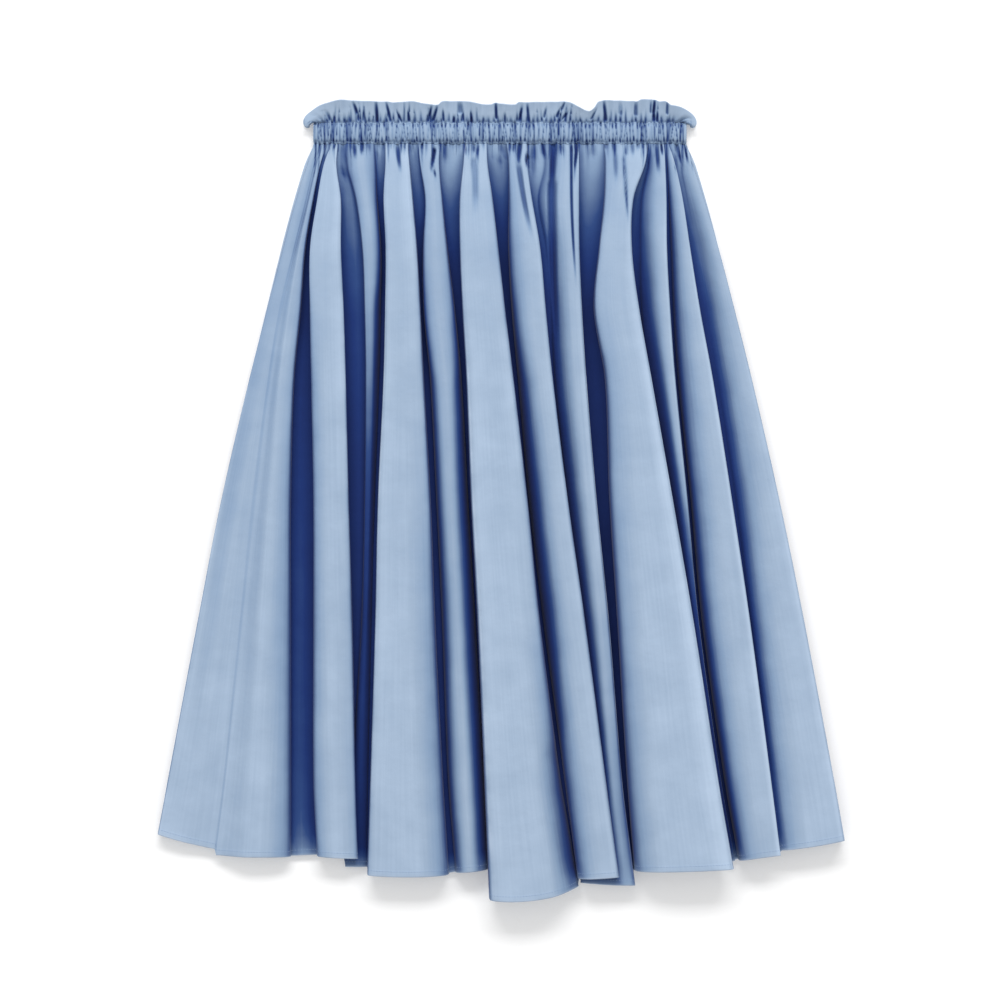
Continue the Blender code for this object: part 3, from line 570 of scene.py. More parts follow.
def front_section(drops):
    """Give the front's sections at drops.

    They are arrays x, z, rim (painted highlight) and level (painted light and shade) of (drops,
    points), and the drop of the hem at each point.
    """
    crowns = [np.maximum(through(CROWN_DROPS, fold.crown, drops), LEAST_CROWN)
              for fold in FRONT_FOLDS]
    dips = [np.clip(through(CROWN_DROPS, fold.dip, drops), 0.0, 1.0) for fold in FRONT_FOLDS]
    lefts = [through(EDGE_DROPS, fold.left, drops) for fold in FRONT_FOLDS]
    rights = [through(EDGE_DROPS, fold.right, drops) for fold in FRONT_FOLDS]
    softs = [(np.interp(drops, SOFT_DROPS, fold.soft_left),
              np.interp(drops, SOFT_DROPS, fold.soft_right)) for fold in FRONT_FOLDS]
    feet = fold_feet(lefts, rights, crowns, softs, drops)
    floors = [np.zeros_like(drops)]
    for index in range(len(FRONT_FOLDS) - 1):
        lower = np.minimum(crowns[index], crowns[index + 1])
        floors.append(VALLEY_FLOOR * lower * (1.0 - dips[index]))
    floors.append(np.zeros_like(drops))
    grids, hems = ([], [], [], []), []
    for index, fold in enumerate(FRONT_FOLDS):
        left, right, crown = lefts[index], rights[index], crowns[index]
        crest = fold.crest * (right - left)
        inward, *rising = fold_side(
            crest, floors[index], crown, softs[index][0], feet[index][0] - left, fold.points[0],
            LEFT_GLOW)
        rising.insert(0, left[:, None] + inward)
        inward, *falling = fold_side(
            right - left - crest, floors[index + 1], crown, softs[index][1],
            right - feet[index][1], fold.points[0], RIGHT_GLOW)
        falling.insert(0, right[:, None] - inward)
        for grid, up, down in zip(grids, rising, falling):
            grid.append(np.hstack((up, down[:, -2::-1])))
        share = np.clip((grids[0][-1][-1] - left[-1]) / (right[-1] - left[-1]), 0.0, 1.0)
        bend = fold.hem[1] - 0.5 * (fold.hem[0] + fold.hem[2])
        hems.append(mix(fold.hem[0], fold.hem[2], share) + 4.0 * bend * share * (1.0 - share))
        if index < len(FRONT_FOLDS) - 1:
            share = (np.arange(fold.points[1]) + 1.0) / (fold.points[1] + 1.0)
            x_floor = mix(feet[index][1][:, None], feet[index + 1][0][:, None], share[None, :])
            sag = VALLEY_SAG * np.sin(math.pi * share)[None, :]
            z_floor = np.maximum(floors[index + 1][:, None] - sag, 0.0)
            for grid, values in zip(grids, (
                    x_floor, z_floor, np.zeros_like(x_floor),
                    np.full_like(x_floor, FLOOR_LEVEL))):
                grid.append(values)
            hems.append(mix(fold.hem[2], FRONT_FOLDS[index + 1].hem[0], share))
    return (*(np.hstack(grid) for grid in grids), np.concatenate(hems))


def press(x, drop, slits):
    """Give how deep the slits press the cloth down at points."""
    depth = np.zeros_like(x)
    for slit in slits:
        along = (drop - slit.d0) / (slit.d1 - slit.d0)
        inside = np.clip(along, 0.0, 1.0)
        middle = mix(slit.x0, slit.x1, inside) + slit.bow * 4.0 * inside * (1.0 - inside)
        start = min(SLIT_START / (slit.d1 - slit.d0), SLIT_MOST_START)
        taper = smooth(along / start) * smooth((1.0 - along) / SLIT_TAPER)
        half = slit.half * (1.0 - SLIT_NARROWS * inside)
        near = np.clip(1.0 - np.abs(x - middle) / half, 0.0, 1.0)
        shape = near ** 1.5 if slit.kind == "sharp" else smooth(near)
        depth = np.maximum(depth, slit.depth * taper * shape)
    return depth


def pucker_lines(seed, puckers):
    """Give slits side by side across the waist, uneven in place, length, slant and depth."""
    draw = np.random.default_rng(seed)
    lines = []
    x = -0.5 * WAIST + WAIST_MARGIN
    while x < 0.5 * WAIST - WAIST_MARGIN:
        lean = draw.uniform(-puckers.slant, puckers.slant)
        start = draw.uniform(*PUCKER_STARTS)
        end = draw.uniform(*puckers.reach)
        lines.append(Slit(
            x, start, x + lean, end, draw.uniform(*PUCKER_BOWS), draw.uniform(*puckers.half),
            draw.uniform(*puckers.depth), "sharp"))
        x += draw.uniform(*puckers.pitches)
    return lines


def gathered(x, height, seed, gathers):
    """Give how deep uneven gathers lie between their ridges, which fade out with height."""
    draw = np.random.default_rng(seed)
    count = int((WAIST + GATHERS_SPARE) / gathers.pitches[0])
    lines = np.cumsum(draw.uniform(*gathers.pitches, size=count)) - 0.5 * WAIST - GATHERS_START
    size = draw.uniform(*gathers.depths, size=count)
    reach = mix(*gathers.reaches, draw.uniform(size=count) ** SELDOM_LONG)
    slant = draw.uniform(-gathers.lean, gathers.lean, size=count)
    result = np.empty_like(x)
    for row in range(x.shape[0]):
        up = float(height[row].mean())
        places = np.sort(lines + slant * up / 10.0)
        phase = np.interp(x[row], places, np.arange(count))
        index = np.minimum(phase.astype(int), count - 2)
        fade = 1.0 - smooth(up / reach[index])
        ridge = np.sin(math.pi * (phase - index)) ** RIDGE_ROUND
        result[row] = size[index] * fade * (1.0 - ridge)
    return result


def openness(x, z, hidden=1.0):
    """Give how much of an even sky's light each point of each section catches, from 0 to 1.

    The points of a section are in order across it, so a later point hides the sky from its own
    direction on. Points far down between high folds get less, as other cloth lies round them,
    where they are hidden from the light that comes in at the hem. The result is painted into the
    cloth's colour as painted shade.
    """
    result = np.empty_like(x)
    hidden = np.broadcast_to(hidden, x.shape)
    right_angle = 0.5 * math.pi
    tilt = np.arctan2(-np.gradient(z, axis=1), np.gradient(x, axis=1))
    order = np.arange(x.shape[1])
    later = order[None, :] > order[:, None]
    earlier = order[None, :] < order[:, None]
    for row in range(x.shape[0]):
        across = x[row][None, :] - x[row][:, None]
        up = z[row][None, :] - z[row][:, None]
        angle = np.arctan2(across, np.maximum(up, LEAST_STEP))
        hides = up > LEAST_STEP
        right = np.min(np.where(later & hides, angle, right_angle), axis=1)
        left = np.max(np.where(earlier & hides, angle, -right_angle), axis=1)
        right = np.minimum(right, tilt[row] + right_angle)
        left = np.maximum(left, tilt[row] - right_angle)
        seen = 0.5 * (np.sin(right - tilt[row]) - np.sin(left - tilt[row]))
        depth = np.max(up - DEPTH_SLOPE * np.abs(across), axis=1)
        shade = 1.0 - DEPTH_SHADE * smooth(depth / FULL_DEPTH) * hidden[row]
        result[row] = np.where(right < left, 0.0, seen) * shade
    return result


def blur(values, times):
    """Even out a grid of values with their neighbours."""
    for _ in range(times):
        padded = np.pad(values, 1, mode="edge")
        values = (padded[1:-1, 1:-1] * 4 + padded[:-2, 1:-1] + padded[2:, 1:-1]
                  + padded[1:-1, :-2] + padded[1:-1, 2:]) / 8.0
    return values


def slack(x, y):
    """Give the slight unevenness of laid cloth at points: broad, shallow and never straight."""
    wander = 0.9 * np.sin(y / 83.0) + 0.5 * np.sin(y / 37.0 + x / 61.0)
    wave = 0.30 * np.sin(x / 7.3 + wander) * np.sin(y / 47.0 + x / 29.0 + 0.7)
    wave += 0.35 * np.sin(x / 13.7 - y / 91.0 + 1.1 + wander)
    return wave + 0.12 * np.sin(x / 3.1 + y / 19.0) * np.sin(y / 23.0 + 2.0)


def add_object(name, data):
    """Add an object with its data to the scene."""
    made = bpy.data.objects.new(name, data)
    bpy.context.scene.collection.objects.link(made)
    return made


def shell(name, x, y, z, across, down, attributes):
    """Make a closed thin shell from a grid of points in millimetres, its face up.

    The first row is at the waist side. across and down are the place of each point in the flat
    cloth, which become its UV map, and attributes are named grids of values.
    """
    thickness = bpy.context.scene.skirt_sizes.cloth / MM
    rows, columns = x.shape
    top = np.stack((x, y, z), axis=-1)
    normal = np.cross(np.gradient(top, axis=0), np.gradient(top, axis=1))
    normal /= np.maximum(np.linalg.norm(normal, axis=-1, keepdims=True), 1e-9)
    low = top - normal * thickness
    low[..., 2] = np.maximum(low[..., 2], 0.0)
    points = np.concatenate((top.reshape(-1, 3), low.reshape(-1, 3))) * MM
    index = np.arange(rows * columns).reshape(rows, columns)
    a, b, c, d = index[:-1, :-1], index[:-1, 1:], index[1:, 1:], index[1:, :-1]
    upper = np.stack((a, d, c, b), axis=-1).reshape(-1, 4)
    lower = np.stack((a, b, c, d), axis=-1).reshape(-1, 4) + rows * columns
    around = np.concatenate((index[0, :], index[1:, -1], index[-1, -2::-1], index[-2:0:-1, 0]))
    beyond = np.roll(around, -1)
    rim = np.stack((around, beyond, beyond + rows * columns, around + rows * columns), axis=-1)
    faces = np.concatenate((upper, lower, rim))
    mesh = bpy.data.meshes.new(name)
    mesh.from_pydata(points.tolist(), [], faces.tolist())
    mesh.polygons.foreach_set("use_smooth", np.ones(len(faces), dtype=bool))
    flat = np.stack((across, down), axis=-1).reshape(-1, 2) * MM
    flat = np.concatenate((flat, flat))
    uv_map = mesh.uv_layers.new(name="flat_cloth")
    uv_map.data.foreach_set("uv", flat[faces.reshape(-1)].reshape(-1))
    for attribute_name, values in attributes.items():
        attribute = mesh.attributes.new(attribute_name, "FLOAT", "POINT")
        both = np.concatenate((values.reshape(-1), values.reshape(-1)))
        attribute.data.foreach_set("value", both.astype(np.float32))
    mesh.validate()
    piece = add_object(name, mesh)
    return piece


def flat_places(x, z):
    """Give the place of each point across the flat cloth, from the widest row."""
    steps = np.hypot(np.diff(x, axis=1), np.diff(z, axis=1))
    widest = steps[int(np.argmax(steps.sum(axis=1)))]
    places = np.concatenate(([0.0], np.cumsum(widest)))
    return np.repeat(places[None, :], x.shape[0], axis=0)


def lay(piece, node):
    """Give a piece its poplin, put it on the body and hide the part that it stands for.
    """
    piece.data.materials.append(named_material("cotton_poplin", poplin))
    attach(piece, BODY)
    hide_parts(node)


def seam_rise(share, middle):
    """Give how far a seam stands above its side seams."""
    near = np.minimum(np.minimum(share, 1.0 - share) / SEAM_SIDE, 1.0)
    return middle * np.sqrt(1.0 - (1.0 - near) ** 2)


def panel_drops(hems):
    """Give the drops of a front's points, and how much its hem rises and how much painted
    highlight it gets.
    """
    down = (np.arange(PANEL_ROWS) / PANEL_ROWS) ** PANEL_CROWDING
    upper = down[:, None] * (hems - HEM_DEPTH)[None, :]
    lower = hems[None, :] - np.array(HEM_ROWS)[:, None]
    rise = np.concatenate((np.zeros(PANEL_ROWS), HEM_RISES)) * HEM_RISE
    rim = np.concatenate((np.zeros(PANEL_ROWS), HEM_RIMS))
    return np.vstack((upper, lower)), rise, rim


def front_cloth():
    """Give the grids x, drop, z, rim and level of the front panel; rim is its painted highlight
    and level its painted light and shade.
    """
    table_drops = np.arange(0.0, DROPS_END, DROP_STEP)
    *tables, hems = front_section(table_drops)
    drop, hem_rise, hem_rim = panel_drops(hems)
    x, z, rim, level = [np.empty_like(drop) for _ in tables]
    for column in range(len(hems)):
        for grid, table in zip((x, z, rim, level), tables):
            grid[:, column] = np.interp(drop[:, column], table_drops, table[:, column])
    share = (x - x[:, :1]) / (x[:, -1:] - x[:, :1])
    rise = seam_rise(share, SEAM_RISE) * (1.0 - smooth(drop / SEAM_RISE_FADE))
    z = z * smooth(mix(HEIGHTS_START, 1.0, drop / HEIGHTS_GROW)) + rise
    pressed = press(x, drop, FRONT_SLITS) * smooth(mix(PRESS_START, 1.0, drop / PRESS_GROW))
    pressed = pressed + gathered(x, drop, SEEDS["front_panel"], PANEL_GATHERS)
    z = z - pressed
    z = z + slack(x, drop) * smooth(drop / SLACK_GROW) + hem_rise[:, None]
    z = np.maximum(z, LOWEST_PRESS)
    # Painted shade in pressed slits and gathers, and painted light towards the hem
    glow = mix(WAIST_GLOW, HEM_GLOW, smooth(drop / HEM_GLOW_GROW))
    level = level - PRESS_SHADE * pressed + glow
    return x, drop, z + FRONT_REST, np.maximum(rim, hem_rim[:, None]), level


def waves(x, table):
    """Add up waves at places across."""
    return sum(height * np.sin(x * rate + start) for height, rate, start in table)


def front_panel():
    """Make the front panel, gathered at the waist and falling in thirteen folds."""
    x, drop, z, rim, level = front_cloth()
    y = waves(x, SEAM_WAVES) * (1.0 - smooth(drop / SEAM_WAVE_FADE)) + SEAM_Y - drop
    at_seam = 1.0 - smooth(drop / SEAM_LAP_FADE)
    y = y + SEAM_LAP * at_seam
    z = z - SEAM_LAP * at_seam
    # Painted shade and light: openness to the sky, darkened by depth and lifted near the hem and
    # on crisp edges, goes into the cloth's colour as the open attribute
    hidden = smooth((drop[-1] - drop - HEM_EDGE) / HEM_LIGHT)
    hidden = hidden * smooth((drop - WAIST_LIGHT) / WAIST_LIGHT_FADE)
    sky = blur(openness(x, z, hidden) * level, 1)
    from_hem = smooth((drop[-1] - drop) / HEM_OPEN_FADE)
    sky = np.maximum(sky, mix(HEM_OPEN, 0.0, from_hem))
    sky = np.maximum(sky, RIM_OPEN * rim * smooth(drop / WAIST_LIGHT))
    piece = shell("front_panel_cloth", x, y, z, flat_places(x, z), -drop,
                  {"open": sky, "rim": rim})
    lay(piece, "front_panel")


def back_grids():
    """Give the grids x, drop and z of the back panel, which lies on the surface."""
    share = np.linspace(0.0, 1.0, BACK_COLUMNS)[None, :]
    hem = BACK_HEM_SIDE + BACK_HEM_BELLY * (1.0 - (2.0 * share - 1.0) ** 2)
    down = (np.arange(BACK_ROWS) / (BACK_ROWS - 1.0))[:, None] ** BACK_CROWDING
    drop = down * hem
    half = through(SIDE_SEAM_DROPS, SIDE_SEAM, drop)
    x = half * (2.0 * share - 1.0)
    z = np.zeros_like(x)
    for place, reach, half_width, height in BACK_CREASES:
        width = 0.5 * half_width * mix(BACK_CREASE_TOP, 1.0, down) / half
        near = np.clip(1.0 - np.abs(share - place) / width, 0.0, 1.0)
        rising = smooth((drop - reach) / BACK_CREASE_RISE)
        z = z + height * smooth(near * BACK_CREASE_FLAT) * rising
    puckers = np.abs(np.sin(share * BACK_PUCKERS * math.pi + 0.6 * np.sin(share * 61.0)))
    puckers = BACK_PUCKER_HEIGHT * puckers * np.exp(-drop / BACK_PUCKER_FADE)
    z = z + puckers * (1.0 - smooth(drop / BACK_PUCKER_END))
    return x, drop, z


def back_panel():
    """Make the back panel, which lies on the surface under the front."""
    x, drop, z = back_grids()
    z = z + bpy.context.scene.skirt_sizes.cloth / MM
    y = SEAM_Y - SEAM_GAP - drop
    even = np.ones_like(x)
    piece = shell("back_panel_cloth", x, y, z, flat_places(x, z), -drop,
                  {"open": even, "rim": even * 0.0})
    lay(piece, "back_panel")


def casing_cloth(side):
    """Give the grids x, height above the waist seam and z of one half of the casing."""
    share = np.linspace(0.0, 1.0, CASING_COLUMNS)[None, :]
    up = np.linspace(1.0, 0.0, CASING_ROWS)[:, None]
    x = WAIST * (share - 0.5) + 0.0 * up
    height = CASING_DEPTH * up + 0.0 * share
    seed = SEEDS[side + "_casing"]
    deep = gathered(x, height, seed, CASING_GATHERS)
    low = pucker_lines(seed + 10, LOW_PUCKERS)
    high = pucker_lines(seed + 20, HIGH_PUCKERS)
    pressed = np.maximum(press(x, height, low), press(x, CASING_DEPTH - height, high))
    groove = np.exp(-((height - STITCH_IN) / GROOVE_HALF) ** 2)
    groove = groove + np.exp(-((CASING_DEPTH - STITCH_IN - height) / GROOVE_HALF) ** 2)
    puffed = np.sin(math.pi * np.clip(up, 0.0, 1.0)) ** PUFF_ROUND
    if side == "front":
        z = FRONT_REST + seam_rise(share, SEAM_RISE) + PUFF * puffed + CASING_REST
        z = z - deep - pressed - GROOVE_DEPTH * groove
        panel_x, _, panel_z, _, _ = front_cloth()
        at_seam = np.interp(x, panel_x[0], panel_z[0]) + SEAM_OVER
        z = mix(at_seam, z, smooth(height / SEAM_BLEND))
    else:
        z = BACK_PUFF * puffed + BACK_CASING_REST - BACK_GATHERS_SHARE * deep
    return x, height, z, deep + pressed


def casing_y(x, height):
    """Give the y of points of the casing, which wander as its seams do."""
    return SEAM_Y + height * (CASING_TOP - SEAM_Y) / CASING_DEPTH + waves(x, SEAM_WAVES)


def casing(side):
    """Make one half of the waist casing, drawn up by its elastic."""
    x, height, z, pressed = casing_cloth(side)
    y = casing_y(x, height)
    z = np.maximum(z, bpy.context.scene.skirt_sizes.cloth / MM)
    # Painted shade: openness to the sky and presses darken the casing's colour
    sky = blur(openness(x, z), 1) * CASING_LEVEL - CASING_PRESS_SHARE * PRESS_SHADE * pressed
    piece = shell(side + "_casing_cloth", x, y, z, flat_places(x, z), height,
                  {"open": sky, "rim": sky * 0.0})
    lay(piece, side + "_casing")


def frill(side):
    """Make one half of the ruffled heading above the casing, with its curled ends."""
    share = np.linspace(0.0, 1.0, FRILL_COLUMNS)[None, :]
    up = np.linspace(1.0, 0.0, FRILL_ROWS)[:, None] + 0.0 * share
    base_x = WAIST * (share - 0.5) + 0.0 * up
    tops = through(*zip(*FRILL_TOPS), base_x)
    edge = np.minimum(share, 1.0 - share) * WAIST / EAR_WIDTH + 0.0 * up
    turned = 1.0 - smooth(edge)
    ear = turned * np.where(share < 0.5, -1.0, 1.0)
    length = tops * up
    angle = EAR_TURN * ear * mix(EAR_TURN_START, 1.0, up)
    x = base_x + EAR_CLEARANCE * ear + length * np.sin(angle)
    y = CASING_TOP - SEAM_LAP + length * np.cos(angle) + EAR_CLEARANCE * turned
    y = y + waves(base_x, SEAM_WAVES) * (1.0 - up)
    base = gathered(base_x, length, SEEDS[side + "_frill"], HEADING_GATHERS)
    pressed = base
    if side == "front":
        pressed = base + press(base_x, length, FRILL_CREASES)
        wave = waves(base_x, FRONT_HEADING_WAVES)
        wave = wave + 0.5 * np.sin(base_x * 0.47 + 0.8 * np.sin(base_x * 0.13))
        z = FRONT_REST + SEAM_RISE + FRILL_REST + FRILL_LIFT * up ** FRILL_LIFT_ROUND
        z = z + wave * up * smooth(edge) - pressed * mix(EAR_PRESS, 1.0, smooth(edge))
        z = z + EAR_PUFF * turned * np.sin(math.pi * up) - EAR_PUFF * turned * up ** 3
        casing_x, _, casing_z, _ = casing_cloth(side)
        at_casing = np.interp(base_x, casing_x[0], casing_z[0]) - SEAM_LAP
        z = mix(at_casing, z, smooth(length / SEAM_BLEND))
    else:
        wave = waves(base_x, BACK_HEADING_WAVES)
        z = BACK_FRILL_REST + BACK_FRILL_LIFT * up + wave * up * smooth(edge)
        z = z - BACK_FRILL_SHARE * base
    z = np.maximum(z, bpy.context.scene.skirt_sizes.cloth / MM)
    # Painted shade from openness, presses and the casing's seam, the ears painted fully lit, and a
    # painted highlight on the top edge
    sky = mix(blur(openness(x, z), 1), 1.0, smooth(2.0 * turned)) - PRESS_SHADE * pressed
    sky = sky * FRILL_LEVEL * mix(FRILL_FOOT_LEVEL, 1.0, smooth(length / FRILL_FOOT_REACH))
    rim = sky * 0.0
    rim[0] = FRILL_RIM
    piece = shell(side + "_frill_cloth", x, y, z, flat_places(base_x, z), CASING_DEPTH + length,
                  {"open": sky, "rim": rim})
    lay(piece, side + "_frill")


def stitch_tree():
    """Build the tree that sets stitches end to end along a line.

    Its inputs are how far apart the stitches are, how long and thick each one is, and their
    thread.
    """
    tree = bpy.data.node_groups.new("stitches", "GeometryNodeTree")
    tree.interface.new_socket("Line", in_out="INPUT", socket_type="NodeSocketGeometry")
    for name in ("Pitch", "Length", "Thickness"):
        tree.interface.new_socket(name, in_out="INPUT", socket_type="NodeSocketFloat")
    tree.interface.new_socket("Thread", in_out="INPUT", socket_type="NodeSocketMaterial")
    tree.interface.new_socket("Stitches", in_out="OUTPUT", socket_type="NodeSocketGeometry")
    given = add_node(tree, "NodeGroupInput").outputs
    line = add_node(tree, "GeometryNodeMeshToCurve", None, {"Mesh": given["Line"]})
    spaced = add_node(tree, "GeometryNodeResampleCurve", {"mode": "LENGTH"}, {
        "Curve": line.outputs["Curve"], "Length": given["Pitch"]})
    bead = add_node(tree, "GeometryNodeMeshUVSphere", None, {
        "Segments": 6, "Rings": 4, "Radius": 0.5})
    size = add_node(tree, "ShaderNodeCombineXYZ", None, {
        "X": given["Length"], "Y": given["Thickness"], "Z": given["Thickness"]})
    stitch = add_node(tree, "GeometryNodeTransform", None, {
        "Geometry": bead.outputs["Mesh"], "Scale": size.outputs["Vector"]})
    along = add_node(tree, "GeometryNodeInputTangent")
    turned = add_node(tree, "FunctionNodeAlignRotationToVector", {"axis": "X"}, {
        "Vector": along.outputs["Tangent"]})
    placed = add_node(tree, "GeometryNodeInstanceOnPoints", None, {
        "Points": spaced.outputs["Curve"], "Instance": stitch.outputs["Geometry"],
        "Rotation": turned.outputs["Rotation"]})
    real = add_node(tree, "GeometryNodeRealizeInstances", None, {
        "Geometry": placed.outputs["Instances"]})
    dressed = add_node(tree, "GeometryNodeSetMaterial", None, {
        "Geometry": real.outputs["Geometry"], "Material": given["Thread"]})
    add_node(tree, "NodeGroupOutput", None, {"Stitches": dressed.outputs["Geometry"]})
    return tree


def sew(name, lines):
    """Sew along lines of points in millimetres, and give the stitches as one piece."""
    sizes = bpy.context.scene.skirt_sizes
    points = np.concatenate(lines) * MM
    ends = np.cumsum([len(line) for line in lines]) - 1
    edges = [(index, index + 1) for index in range(len(points) - 1) if index not in ends]
    mesh = bpy.data.meshes.new(name)
    mesh.from_pydata(points.tolist(), edges, [])
    piece = add_object(name, mesh)
    tree = bpy.data.node_groups.get("stitches") or stitch_tree()
    modifier = piece.modifiers.new("stitches", "NODES")
    modifier.node_group = tree
    values = {
        "Pitch": sizes.stitch_pitch, "Length": sizes.stitch_length,
        "Thickness": sizes.thread, "Thread": named_material("polyester_sewing_thread", thread)}
    for socket in tree.interface.items_tree:
        if socket.in_out == "INPUT" and socket.name in values:
            modifier[socket.identifier] = values[socket.name]
    bpy.context.view_layer.update()
    made = piece.evaluated_get(bpy.context.evaluated_depsgraph_get())
    stitches = bpy.data.meshes.new_from_object(made)
    piece.modifiers.remove(modifier)
    piece.data = stitches
    stitches.name = name
    stitches.polygons.foreach_set("use_smooth", np.ones(len(stitches.polygons), dtype=bool))
    if not stitches.polygons:
        raise RuntimeError(name + ": no stitches were made")
    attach(piece, BODY)
    return piece


def casing_stitches(side):
    """Sew the two rows of stitching of one half of the casing, on its outer face."""
    x, height, z, _ = casing_cloth(side)
    y = casing_y(x, height)
    cloth = bpy.context.scene.skirt_sizes.cloth / MM
    z = z + THREAD_PROUD if side == "front" else z - cloth - THREAD_PROUD
    rows = [int(np.argmin(np.abs(height[:, 0] - inset)))
            for inset in (STITCH_IN, CASING_DEPTH - STITCH_IN)]
    lines = [np.stack((x[row], y[row], z[row]), axis=-1) for row in rows]
    sew(side + "_casing_stitches", lines)


def hem_stitches():
    """Sew the row of stitching along the front's narrow hem."""
    x, drop, z, _, _ = front_cloth()
    row = drop.shape[0] - len(HEM_ROWS) + HEM_STITCH_ROW
    sew("hem_stitches", [np.stack((x[row], SEAM_Y - drop[row], z[row] + THREAD_PROUD), axis=-1)])


def linear(hex_colour):
    """Turn an sRGB hex colour into linear red, green, blue and alpha."""
    channels = [int(hex_colour[i:i + 2], 16) / 255.0 for i in (1, 3, 5)]
    return tuple(c / 12.92 if c <= 0.04045 else ((c + 0.055) / 1.055) ** 2.4
                 for c in channels) + (1.0,)


def add_node(tree, kind, settings=None, inputs=None):
    """Add a node with its settings, and with its inputs set to values or linked to sockets."""
    node = tree.nodes.new(kind)
    for name, value in (settings or {}).items():
        setattr(node, name, value)
    for name, value in (inputs or {}).items():
        if isinstance(value, bpy.types.NodeSocket):
            tree.links.new(value, node.inputs[name])
        else:
            node.inputs[name].default_value = value
    return node


def maths(tree, operation, *values):
    """Add a maths node on values or sockets, and give its result."""
    settings = {"operation": operation}
    return add_node(tree, "ShaderNodeMath", settings, dict(enumerate(values))).outputs[0]


def noise(tree, place, scale, detail=2.0, roughness=0.5):
    """Add a noise texture, and give its values."""
    return add_node(tree, "ShaderNodeTexNoise", None, {
        "Vector": place, "Scale": scale, "Detail": detail, "Roughness": roughness,
    }).outputs["Fac"]


def new_material(name, settings):
    """Make a material with settings of its shader, and give it with its tree and its shader."""
    material = bpy.data.materials.new(name)
    material.use_nodes = True
    tree = material.node_tree
    shader = tree.nodes["Principled BSDF"]
    for socket, value in settings.items():
        shader.inputs[socket].default_value = value
    return material, tree, shader


def named_material(name, make):
    """Give the material of a name, and make it the first time."""
    return bpy.data.materials.get(name) or make(name)


def fine_gathers(tree, place):
    """Add nodes for wedges that narrow away from the casing, and give how deep they are."""
    parts = add_node(tree, "ShaderNodeSeparateXYZ", None, {"Vector": place}).outputs
    spread = add_node(tree, "ShaderNodeMapping", None, {
        "Vector": place, "Scale": (1.0 / FINE_PITCH, 1.0 / FINE_LENGTH, 0.0)})
    uneven = noise(tree, spread.outputs["Vector"], 1.0, roughness=0.6)
    below = add_node(tree, "ShaderNodeMapRange", None, {
        "Value": parts["Y"], "From Min": SEAM_Y * MM - FINE_BELOW, "From Max": SEAM_Y * MM,
        "To Min": 0.0, "To Max": 1.0})
    above = add_node(tree, "ShaderNodeMapRange", None, {
        "Value": parts["Y"], "From Min": CASING_TOP * MM, "From Max": CASING_TOP * MM + FINE_ABOVE,
        "To Min": 1.0, "To Max": 0.0})
    near = maths(tree, "MULTIPLY", below.outputs["Result"], above.outputs["Result"])
    narrowed = maths(tree, "MULTIPLY_ADD", near, FINE_GROW, FINE_LEAST)
    inside = maths(tree, "SUBTRACT", narrowed, uneven)
    return add_node(tree, "ShaderNodeMapRange", {"interpolation_type": "SMOOTHSTEP"}, {
        "Value": inside, "From Min": 0.0, "From Max": FINE_SOFT}).outputs["Result"]


